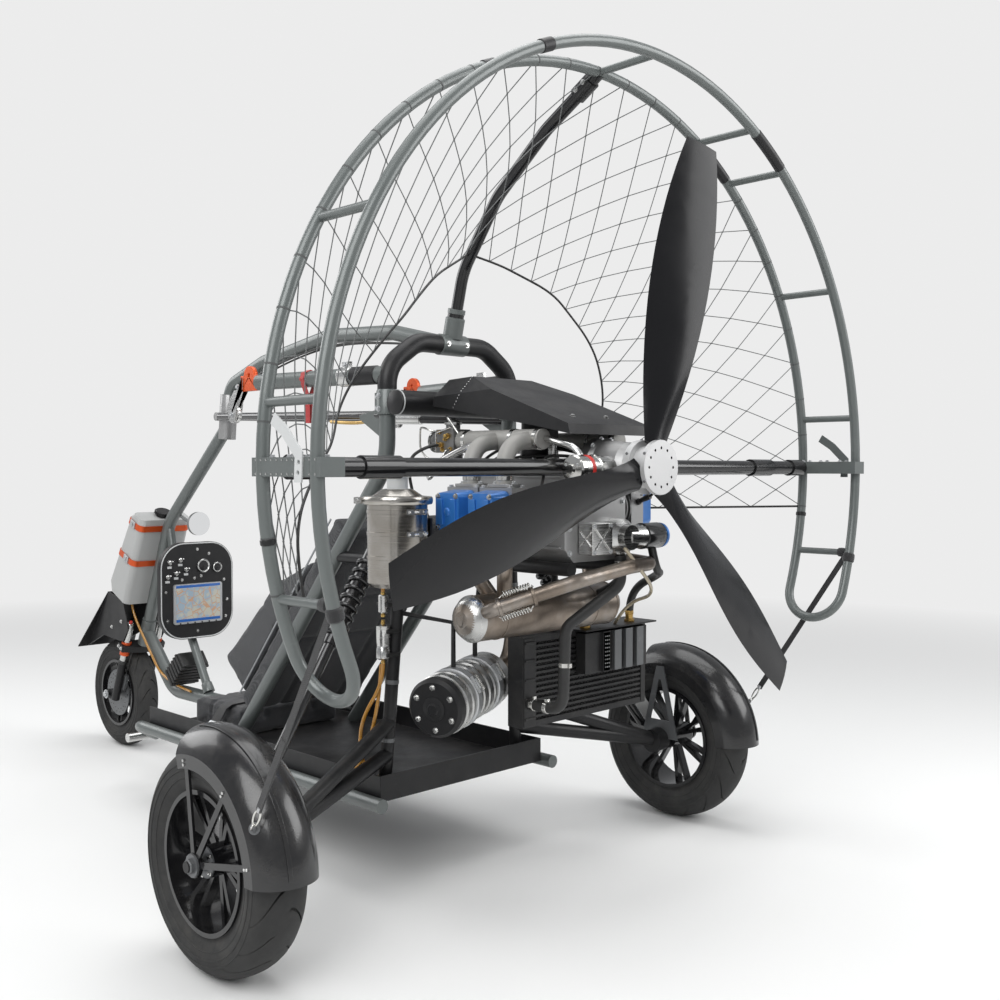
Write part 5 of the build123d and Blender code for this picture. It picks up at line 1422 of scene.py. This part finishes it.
class TRIKE_OT_cooling_fittings(bpy.types.Operator):
    """Makes the radiator's fins, the cooler's strip and the unions, hoses and clips"""

    bl_idname = "trike.cooling_fittings"
    bl_label = "Cooling fittings"

    def execute(self, context):
        # folded fins in the core's slots
        fins = bmesh.new()
        rows, folds = 15, 66
        pitch = (0.655 - 0.43 - 0.024) / rows
        for row in range(rows):
            up = 0.442 + pitch * (row + 0.5)
            places = [at(-0.022 + 0.41 * step / folds, -0.1708, up + pitch * (0.27 if step % 2 else -0.27))
                      for step in range(folds + 1)]
            ribbon(fins, places, [-FORWARD] * len(places), 0.0011, 0.006)
        add_piece("radiator_fins", fins, "Fin Grey", smooth=False)
        strip = bmesh.new()
        add_plate(strip, [(-13, -50), (13, -50), (13, 50), (-13, 50)], 0.0012, (at(0.2, -0.2213, 0.596), -RIGHT, UP))
        add_piece("cooler_strip", strip, "Spring Black", bevel=0.0004)
        dots = [(at(0.2 + column, -0.2225, 0.556 + 0.01 * row), -FORWARD)
                for row in range(9) for column in (-0.007, 0.0, 0.007)]
        bolts_piece("cooler_dots", dots, 1.8, "Zinc Grey", height=0.8, washer=False)
        tint("oil_cooler", "Zinc Dark", lambda face: face.center.y < AXLE_Y - 0.2125 and face.center.x > 0.22)
        low, high = at(0.15, -0.19, 0.659), at(0.33, -0.19, 0.659)
        turned_piece("shelf_unions", "Brass", [
            (spot, UP, [(-1, 15), (7, 15), (7.5, 11), (20, 11.5), (21, 12.5),
                        (30, 12.2)]) for spot in (low, high)], 6, smooth=False)
        line_piece("cooler_hoses", [
            [low + UP * 0.02, low + UP * 0.075,
             *route((0.13, -0.3, 0.775), (0.075, -0.372, 0.815), (0.068, -0.374, 0.866))],
            [high + UP * 0.02, high + UP * 0.085,
             *route((0.3, -0.32, 0.8), (0.19, -0.387, 0.815), (0.17, -0.387, 0.88))],
        ], 0.0105, "Hose Rubber", smooth=True, sides=5)
        line_piece("clear_hose", [route((0.045, -0.405, 0.88), (0.04, -0.44, 0.85), (0.18, -0.4, 0.76),
                                        (0.255, -0.24, 0.72), (0.262, -0.195, 0.659))],
                   0.0045, "Clear Hose", smooth=True)
        clips = bmesh.new()
        for place, run in ((at(-0.048, -0.296, 0.6), UP), (at(-0.048, -0.24, 0.49), FORWARD),
                           (at(-0.048, -0.195, 0.49), FORWARD), (at(0.062, -0.378, 0.842), UP)):
            add_turned(clips, place, run, collar(12, 14.1, 15.3, start=-6), 28)
            side = square_to(run)[0]
            add_box(clips, place + side * 0.017, (0.007, 0.01, 0.009), (side, run, side.cross(run)))
        add_piece("hose_clips", clips, "Polished Steel")
        ribs = [(at(x, -0.1805, 0.5425), (wide, 0.003, 0.218)) for x, wide in ((-0.047, 0.04), (0.4, 0.018))]
        ribs += [(at(-0.047, -0.183, up), (0.036, 0.004, 0.006)) for up in (0.452, 0.5, 0.548, 0.596, 0.64)]
        boxes_piece("radiator_tank_ribs", "Core Black", ribs, 0.001)
        return {"FINISHED"}


# Steering head: its foot at the axle's height, its axis and the direction square to it
STEER_TILT = radians(23)
STEER_UP = Vector((0, -sin(STEER_TILT), cos(STEER_TILT)))
STEER_AHEAD = Vector((0, cos(STEER_TILT), sin(STEER_TILT)))
STEER_AXES = (RIGHT, STEER_AHEAD, STEER_UP)
LEG_LEAD = 0.022
STEER_FOOT = at(0, 1.995, 0.205) - STEER_AHEAD * LEG_LEAD


def on_steering(along, across=0.0, lead=0.0):
    """Place on the steering head, from its axis."""
    return STEER_FOOT + STEER_UP * along + RIGHT * across + STEER_AHEAD * lead


def on_leg(side, along):
    """Place on a fork leg's axis."""
    return on_steering(along, side * 0.062, LEG_LEAD)


def screen_finish():
    """Lit screen with a plain map: pale ground, water patches and fine roads."""
    tree, shader = new_finish("Screen Map")[1:]
    place = object_place(tree)
    ground = spread(tree, noise_node(tree, place, 26.0, 3.0, 0.5), 0.46, 0.54)
    colour = blend_colours(tree, ground, (0.42, 0.55, 0.66), (0.66, 0.66, 0.56))
    roads = tree.nodes.new("ShaderNodeTexVoronoi")
    roads.feature = "DISTANCE_TO_EDGE"
    set_inputs(tree, roads, Vector=place, Scale=42.0)
    lines = spread(tree, roads.outputs["Distance"], 0.02, 0.05)
    colour = blend_colours(tree, lines, (0.72, 0.42, 0.24), colour)
    set_inputs(tree, shader, Emission_Color=colour, Emission_Strength=0.55,
               Base_Color=(0.05, 0.05, 0.055), Roughness=0.12)


class TRIKE_OT_cockpit(bpy.types.Operator):
    """Makes the panel's switches, gauges and screen, the mirror's glass, the tank's fittings and the ribbed box"""

    bl_idname = "trike.cockpit"
    bl_label = "Cockpit"

    def execute(self, context):
        screen_finish()
        face = 1.493
        rim = [at(x, face, 0.64 + up) for x, up in rounded_outline(0.278, 0.333, 0.0865, 10)]
        line_piece("panel_rim", [rim], 0.0022, "Pale Grey", closed=True)
        spots = [at(x, face, up) for x, up in ((-0.108, 0.742), (-0.067, 0.749), (-0.083, 0.703), (-0.045, 0.715),
                                               (-0.116, 0.692))]
        turned_piece("switch_nuts", "Bright Alloy", [
            (spot, -FORWARD, [(-1, 8.5), (3, 8.5), (3.5, 5.5), (10, 5.5)])
            for spot in spots], 6, smooth=False)
        turned_piece("switch_bats", "Bright Alloy", [
            (spot - FORWARD * 0.009, -FORWARD + UP * 0.45,
             [(0, 2.2), (12, 3.2), (16, 3.4), (18, 1.8)]) for spot in spots], 14)
        boxes_piece("switch_plates", "Pale Grey",
                    [(spot - FORWARD * 0.001 - UP * 0.016, (0.016, 0.003, 0.008)) for spot in spots], 0.0006)
        gauges = [(at(x, face, up), radius) for x, up, radius in ((0.022, 0.726, 24), (0.078, 0.718, 18))]
        turned_piece("gauge_rims", "Bright Alloy", [
            (spot, -FORWARD, [(-1, radius), (6, radius), (7, radius * 0.94), (4.5, radius * 0.86)])
            for spot, radius in gauges], 36)
        turned_piece("gauge_faces", "Gloss Black", [
            (spot, -FORWARD, [(4.4, radius * 0.86), (4.8, radius * 0.5), (5, 2.6), (6.6, 2.2)])
            for spot, radius in gauges], 36)
        screws = [(at(x, face, up), -FORWARD) for x, up in (
            (0.046, 0.768), (0.106, 0.672), (0.014, 0.69), (-0.012, 0.684), (-0.06, 0.68), (0.118, 0.6),
            (0.112, 0.54), (-0.116, 0.54), (-0.122, 0.64), (0.0, 0.785), (0.0, 0.496))]
        bolts_piece("panel_screws", screws, 3.6, "Bright Alloy")
        boxes_piece("screen", "Screen Map", [(at(0, 1.4867, 0.597), (0.172, 0.0016, 0.108))], 0.0004)
        boxes_piece("screen_bars", "Screen Blue",
                    [(at(0, 1.4867, up), (0.172, 0.0016, 0.0095)) for up in (0.5375, 0.6565)], 0.0004)
        buttons = [(at(-0.07 + 0.028 * step, 1.487, 0.5275), -FORWARD) for step in range(6)]
        bolts_piece("screen_buttons", buttons, 3, "Satin Black", height=1.5, washer=False)
        tint("mirror", "Mirror Glass", lambda part: part.normal.y < -0.9 and part.center.y < AXLE_Y + 1.548)
        turned_piece("mirror_shell", "Satin Black", [
            (at(0.04, 1.562, 0.872), FORWARD, [(-3, 41), (0, 40), (8, 30), (12, 12)])], 36)
        self.tank()
        run = (at(0, 1.64, 0.302) - at(0, 1.512, 0.418)).normalized()
        axes = (RIGHT, run, RIGHT.cross(run))
        middle = at(0, 1.572, 0.352)
        box = [(middle, (0.1, 0.128, 0.058), axes)]
        box += [(middle + run * (0.019 * step - 0.0475), (0.112, 0.01, 0.068), axes) for step in range(6)]
        boxes_piece("ribbed_box", "Hose Rubber", box, 0.004, 3)
        foot = at(0, 1.425, 0.3)
        fall = (foot - at(0, 1.545, 0.48)).normalized()
        turned_piece("post_foot", "Frame Grey", [
            (foot - fall * 0.022, fall, [(0, 15.2), (4, 18.5), (30, 20), (36, 20)])], 28)
        return {"FINISHED"}

    def tank(self):
        """Cap, strap clasps and feed of the fuel tank."""
        cap = bmesh.new()
        top = on_steering(0.735, 0, 0.058)
        add_turned(cap, top, STEER_UP, [(-2, 24), (6, 24), (7, 29), (19, 29), (22, 25)])
        add_ribs(cap, top + STEER_UP * 0.013, 20, 0.029, (0.004, 0.004, 0.011), STEER_AXES)
        add_piece("fuel_cap", cap, "Satin Black", bevel=0.0005)
        clasps = []
        for along in (0.56, 0.7):
            for side in SIDES:
                middle = on_steering(along, side * 0.1048, 0.07)
                clasps += [(middle, (0.005, 0.034, 0.026), STEER_AXES),
                           (middle + RIGHT * side * 0.003, (0.004, 0.008, 0.018), STEER_AXES)]
        boxes_piece("strap_clasps", "Zinc Grey", clasps, 0.001)
        line_piece("tank_feed", [[on_steering(0.395, -0.05, 0.075), on_steering(0.35, -0.05, 0.06),
                                  *route((-0.032, 1.79, 0.4), (-0.028, 1.69, 0.296), (-0.026, 1.5, 0.282))]],
                   0.0045, "Amber Hose", smooth=True)


class TRIKE_OT_fork_fittings(bpy.types.Operator):
    """Makes the collars, caps, caliper, hose and bolts of the fork"""

    bl_idname = "trike.fork_fittings"
    bl_label = "Fork fittings"

    def execute(self, context):
        # name, finish, sides of the round, and profiles by their height on each leg
        table = (("fork_rings", "Orange", 28, ((0.178, collar(21.5, 13.2, 18.2)),
                                               (0.2243, collar(8.2, 13.2, 18.2)))),
                 ("stanchion_caps", "Bright Alloy", 24,
                  ((0.3045, [(0, 12.8), (4, 12.8), (7, 10.5), (8, 6.2)]),)),
                 ("stanchion_knobs", "Red Plastic", 12, ((0.312, [(0, 6.2), (6, 6.2), (8, 4.5)]),)),
                 ("fork_seals", "Hose Rubber", 28,
                  ((0.14, [(0, 15.1), (2, 17.2), (10, 17.2), (14, 13.5)]),)))
        for name, finish, steps, rows in table:
            turned_piece(name, finish, [(on_leg(side, along), STEER_UP, profile)
                                        for side in SIDES for along, profile in rows], steps, "steering")
        nuts = [(FRONT_HUB + RIGHT * side * 0.0797, RIGHT * side) for side in SIDES]
        bolts_piece("axle_nuts", nuts, 11.5, "Zinc Grey", "steering", height=10)
        bolts = [(on_steering(along, side * across, lead), RIGHT * side) for side in SIDES
                 for along, across, lead in ((0.212, 0.086, 0.012), (0.212, 0.086, 0.032), (0.3, 0.0792, 0.06),
                                             (0.245, 0.0792, 0.12))]
        bolts_piece("fork_bolts", bolts, 4.8, "Bright Alloy", "steering")
        caliper = bmesh.new()
        middle = on_leg(-1, 0.062) + RIGHT * 0.0185
        add_box(caliper, middle, (0.013, 0.046, 0.062), STEER_AXES)
        for along in (-0.017, 0.017):
            add_turned(caliper, middle - RIGHT * 0.0065 + STEER_UP * along + STEER_AHEAD * 0.004, -RIGHT,
                       [(-1, 12.5), (4, 12.5), (6, 10)], 24)
        add_piece("caliper", caliper, "Zinc Dark", "steering", bevel=0.002)
        line_piece("brake_hose", [[middle + STEER_UP * 0.03, middle + STEER_UP * 0.065 - STEER_AHEAD * 0.018,
                                   on_leg(-1, 0.16) - STEER_AHEAD * 0.024 + RIGHT * 0.012,
                                   on_leg(-1, 0.1995) - STEER_AHEAD * 0.012 + RIGHT * 0.022]],
                   0.0028, "Hose Rubber", "steering", smooth=True)
        tint("front_wheel", "Zinc Dark",
             lambda part: part.center.x < -0.0276 and 0.01 < (part.center - FRONT_HUB).yz.length < 0.0885)
        return {"FINISHED"}


class TRIKE_OT_seat_belts(bpy.types.Operator):
    """Lays the shoulder and lap belts with their buckles on the seat, and its piping"""

    bl_idname = "trike.seat_belts"
    bl_label = "Seat belts"

    def execute(self, context):
        belts, pads = bmesh.new(), bmesh.new()
        buckles, buttons = [], []
        back_axes = (RIGHT, SLOPE, SLOPE_OUT)
        # the shoulder belt over the seat's top and down its front, as (along, lift, lean of its face)
        fall = ((0.852, 0.04, SLOPE), (0.866, 0.07, SLOPE + SLOPE_OUT * 0.6), (0.858, 0.0925, SLOPE + SLOPE_OUT),
                (0.8, 0.0955, SLOPE_OUT), (0.62, 0.0965, SLOPE_OUT), (0.44, 0.0965, SLOPE_OUT),
                (0.26, 0.0955, SLOPE_OUT), (0.19, 0.105, SLOPE_OUT))
        for side in SIDES:
            def on_belt(along, lift):
                """Place on this side's shoulder belt, which runs inwards as it falls."""
                return on_slope(side * 0.075 * (1 - 0.25 * (0.86 - along)), along, lift)

            ribbon(belts, [on_belt(along, lift) for along, lift, lean in fall], [lean for along, lift, lean in fall],
                   0.046, 0.0022)
            ribbon(pads, [on_belt(along, 0.0985) for along in (0.78, 0.7, 0.62, 0.54)], [SLOPE_OUT] * 4, 0.062, 0.008)
            x = side * 0.075 * 0.87
            buckles += [(on_slope(x, 0.36, 0.101), (0.054, 0.026, 0.006), back_axes),
                        (on_slope(x, 0.38, 0.103), (0.05, 0.006, 0.006), back_axes)]
            # lap belt from the floor over the side of the base
            outward = RIGHT * side
            places = route((0.252, 0.985, 0.268), (0.228, 0.99, 0.288), (0.201, 0.995, 0.322), (0.18, 1.000, 0.3325),
                           (0.12, 1.005, 0.3345), (0.045, 1.01, 0.3345), side=side)
            normals = [UP, UP + outward, outward + UP * 0.4, UP + outward * 0.4, UP, UP]
            ribbon(belts, places, normals, 0.046, 0.0022)
            tilt = (outward - UP * 0.75).normalized()
            axes = (tilt, FORWARD, tilt.cross(FORWARD) * -side)
            clasp = at(side * 0.252, 0.985, 0.273)
            buckles.append((clasp, (0.05, 0.048, 0.01), axes))
            buttons.append((clasp + axes[2] * 0.006, (0.022, 0.028, 0.005), axes))
        buckles.append((at(0.012, 1.01, 0.3415), (0.066, 0.048, 0.012)))
        buttons.append((at(0.018, 1.01, 0.3485), (0.02, 0.026, 0.004)))
        add_piece("belts", belts, "Black Webbing")
        shoulder = bevelled(add_piece("shoulder_pads", pads, "Seat Cloth"), 0.003, 3)
        boxes_piece("buckles", "Zinc Grey", buckles, 0.0015)
        boxes_piece("buckle_buttons", "Orange", buttons, 0.001)
        piping = [[on_slope(side * 0.2165, along, 0.088) for along in (0.12, 0.83)] for side in SIDES]
        line_piece("seat_piping", piping, 0.0028, "Pale Piping")
        return {"FINISHED"}


class TRIKE_OT_wheel_fittings(bpy.types.Operator):
    """Makes the hub caps, nuts, valves, disc studs, and the fenders' bolts and beads"""

    bl_idname = "trike.wheel_fittings"
    bl_label = "Wheel fittings"

    def execute(self, context):
        nuts, fender_bolts, beads = [], [], bmesh.new()
        for side, name in zip(SIDES, ("left", "right")):
            body, outward = f"rear_wheel_{name}", RIGHT * side
            hub = at(side * REAR_X, 0, REAR_UP)
            turned_piece(f"hub_cap_{name}", "Zinc Dark", [
                (hub + outward * 0.0415, outward, [(0, 34), (4, 33.5), (10, 27), (11.5, 13.5)])],
                36, body)
            lugs = [(place, outward) for place in circle(hub + outward * 0.0465, 0.0275, turns(5))]
            bolts_piece(f"hub_lugs_{name}", lugs, 4.8, "Bright Alloy", body)
            turned_piece(f"valve_{name}", "Hose Rubber", [
                (hub + UP * 0.1425, -UP + outward * 0.35, [(-2, 6), (6, 5.5), (8, 3.5),
                                                           (26, 3.5), (28, 4.5), (36, 4.2)])], 14, body)
            nuts.append((at(side * 0.8678, 0, REAR_UP), outward))
            angles = [radians(angle) for angle in (12.0, 55.0, 98.0)]
            fender_bolts += [(place, outward) for out in (0.208, 0.217)
                             for place in circle(at(side * 0.871, 0, REAR_UP), out, angles, -FORWARD)]
            # raised bead along the fender's crown, a little out from its middle
            spokes = circle(Vector(), 1.0, [radians(5 + 3 * step) for step in range(33)], -FORWARD)
            ribbon(beads, [at(side * 0.817, 0, REAR_UP) + spoke * 0.2812 for spoke in spokes],
                   [spoke + outward * 0.27 for spoke in spokes], 0.009, 0.0036)
        bolts_piece("stub_nuts", nuts, 16.5, "Zinc Dark", height=14)
        bolts_piece("fender_bolts", fender_bolts, 3.6, "Bright Alloy", height=3, washer=False)
        add_piece("fender_beads", beads, "Fender Black", bevel=0.0012)
        tint("fender_brackets", "Zinc Dark", lambda part: abs(part.center.x) < 0.722)
        turned_piece("front_hub_cap", "Zinc Dark", [
            (FRONT_HUB + RIGHT * 0.0277, RIGHT, [(0, 33.5), (3, 33), (8, 24), (9, 9.5)])],
            32, "front_wheel")
        studs = [(place, -RIGHT) for row, radius, count in ((0, 0.076, 18), (1, 0.064, 18), (2, 0.034, 5))
                 for place in circle(FRONT_HUB - RIGHT * 0.0327, radius, turns(count, 0.5 * row))]
        bolts_piece("disc_studs", studs, 3, "Spring Black", "front_wheel", height=0.7, washer=False)
        tint("prop_hub", "Spring Black",
             lambda part: 0.04 < Vector((part.center.x, part.center.z - HUB_UP)).length < 0.048
             and AXLE_Y - 0.5455 < part.center.y < AXLE_Y - 0.535)
        spokes = circle(Vector(), 1.0, turns(6, 0.5), RIGHT)
        rim = [(at(0, ahead, HUB_UP) + spoke * 0.0615, spoke) for spoke in spokes for ahead in (-0.54, -0.49)]
        bolts_piece("hub_edge_bolts", rim, 3.4, "Zinc Dark", "propeller", height=3, washer=False)
        return {"FINISHED"}


class TRIKE_OT_hoses(bpy.types.Operator):
    """Makes the fuel pump, the amber hoses, the rear straps and the bands on the posts"""

    bl_idname = "trike.hoses"
    bl_label = "Hoses"

    def execute(self, context):
        low = at(-0.249, 0.141, 0.585)
        pump = bmesh.new()
        add_turned(pump, low, UP, [(0, 12), (4, 18), (30, 18), (32, 16.5), (40, 16.5), (42, 18), (86, 18), (90, 12)])
        add_turned(pump, low + UP * 0.118, UP, collar(47, 9, 12.5, 3), 28)
        add_piece("fuel_pump", pump, "Bright Alloy")
        boxes_piece("pump_straps", "Hose Rubber",
                    [(at(-0.231, 0.141, 0.585 + up), (0.044, 0.044, 0.01)) for up in (0.012, 0.072, 0.14)], 0.002)
        turned_piece("pump_unions", "Brass", [
            (low + UP * up, UP, [(0, 4.8), (4, 6.2), (8, 4.8), (12, 4.8)])
            for up in (-0.01, 0.089, 0.108, 0.164)], 12)
        line_piece("amber_hoses", [
            [low - UP * 0.01, low - UP * 0.06, *route((-0.282, 0.19, 0.43), (-0.276, 0.205, 0.33),
                                                      (-0.262, 0.16, 0.262), (-0.24, 0.19, 0.246))],
            [low + UP * 0.172, low + UP * 0.215, *route((-0.252, 0.142, 0.818), (-0.214, 0.15, 0.836))],
            route((-0.262, 0.3, 0.247), (-0.28, 0.262, 0.252), (-0.28, 0.18, 0.33), (-0.255, 0.15, 0.47),
                  (-0.24, 0.16, 0.57)),
        ], 0.005, "Amber Hose", smooth=True)
        turned_piece("floor_unions", "Brass", [
            (spot, UP, [(-3, 13), (4, 13), (5, 8), (14, 8)])
            for spot in route((-0.24, 0.19, 0.243), (-0.262, 0.3, 0.243), (-0.18, 0.24, 0.243))], 6, smooth=False)
        self.rear_straps()
        # bands along the cradle's posts
        bands = []
        for side in SIDES:
            start, end = at(side * 0.24, 0.15, 0.2403), at(side * 0.2, 0.13, 0.834)
            bands += [(start.lerp(end, share), end - start, collar(11, 17.1, 18.2)) for share in (0.22, 0.47, 0.84)]
        turned_piece("post_bands", "Zinc Dark", bands, 24)
        return {"FINISHED"}

    def rear_straps(self):
        """Webbing straps from the rear hoop's lowest rungs to lugs on the fenders, with their snap hooks."""
        straps = bmesh.new()
        wraps, lugs, swivels, rings, snaps = ([] for part in range(5))
        # side, the wrap's angle on the rear hoop and the rung's
        for side, angle, rung in ((-1, 195.9, 195), (1, -15.9, -15)):
            knot = on_hoop(angle, REAR_HOOP)
            run = hoop_run(angle)
            wraps.append((knot - run * 0.013, run, [(0, 12.6), (3, 15.8), (13, 16.6), (23, 15.8), (26, 12.6)]))
            wraps.append((on_hoop(rung, REAR_HOOP) + FORWARD * 0.01, FORWARD,
                          [(0, 9.1), (3, 12.2), (12, 13.2), (21, 12.2), (24, 9.1)]))
            out = Vector((side * 0.8, -0.522, 0.296)).normalized()
            lug = at(side * 0.859, -0.22, 0.37)
            lugs.append((lug, out, [(-2, 12), (1.5, 12), (2, 6), (8, 6)]))
            ring = lug + out * 0.009
            start = knot + FORWARD * 0.0135
            pull = (start - ring).normalized()
            across = pull.cross(out).normalized()
            rings.append([ring + pull * (0.004 + 0.008 * sin(turn)) + out * (0.008 * cos(turn)) for turn in turns(16)])
            snaps.append([ring + pull * (0.03 + 0.022 * sin(turn)) + across * (0.0075 * cos(turn))
                          for turn in turns(8)])
            end = ring + pull * 0.05
            swivels.append((end - pull * 0.004, pull, collar(12, 4.2, 5.2, 2)))
            face = FORWARD.cross(pull).normalized() * side
            ribbon(straps, [start, start.lerp(end, 0.5), end], [face] * 3, 0.016, 0.0018)
            ribbon(straps, [start.lerp(end, share) + face * 0.0018 for share in (0.62, 0.8, 1.0)], [face] * 3,
                   0.0155, 0.0016)
        add_piece("rear_straps", straps, "Black Webbing")
        turned_piece("strap_wraps", "Black Webbing", wraps, 28)
        turned_piece("strap_lugs", "Zinc Dark", lugs, 20)
        turned_piece("strap_swivels", "Zinc Grey", swivels, 16)
        line_piece("strap_rings", rings, 0.002, "Polished Steel", closed=True)
        line_piece("strap_snaps", snaps, 0.0024, "Polished Steel", closed=True, smooth=True)


# The steps, in the order in which they run
STEPS = (TRIKE_OT_stage, TRIKE_OT_finishes, TRIKE_OT_tyres, TRIKE_OT_seat, TRIKE_OT_net, TRIKE_OT_cage_fittings,
         TRIKE_OT_frame_fittings, TRIKE_OT_engine_fittings, TRIKE_OT_exhaust_fittings, TRIKE_OT_cooling_fittings,
         TRIKE_OT_cockpit, TRIKE_OT_fork_fittings, TRIKE_OT_seat_belts, TRIKE_OT_wheel_fittings, TRIKE_OT_hoses)


class TRIKE_PT_panel(bpy.types.Panel):
    """Settings and steps of the trike's looks"""

    bl_idname = "TRIKE_PT_panel"
    bl_label = "Paramotor Trike"
    bl_space_type = "VIEW_3D"
    bl_region_type = "UI"
    bl_category = "Trike"

    def draw(self, context):
        for settings in (context.scene.trike_colours, context.scene.trike_sizes):
            column = self.layout.column()
            for name in settings.__annotations__:
                column.prop(settings, name)
        for step in STEPS:
            self.layout.operator(step.bl_idname)


CLASSES = (TrikeColours, TrikeSizes, *STEPS, TRIKE_PT_panel)


def register():
    """Registers the classes and the scene's settings."""
    for item in CLASSES:
        bpy.utils.register_class(item)
    bpy.types.Scene.trike_colours = PointerProperty(type=TrikeColours)
    bpy.types.Scene.trike_sizes = PointerProperty(type=TrikeSizes)


def unregister():
    """Takes the settings and classes away again."""
    del bpy.types.Scene.trike_sizes
    del bpy.types.Scene.trike_colours
    for item in reversed(CLASSES):
        bpy.utils.unregister_class(item)


def main():
    """Builds the whole scene."""
    register()
    for step in STEPS:
        getattr(bpy.ops.trike, step.bl_idname.partition(".")[2])()


if __name__ == "__main__":
    main()
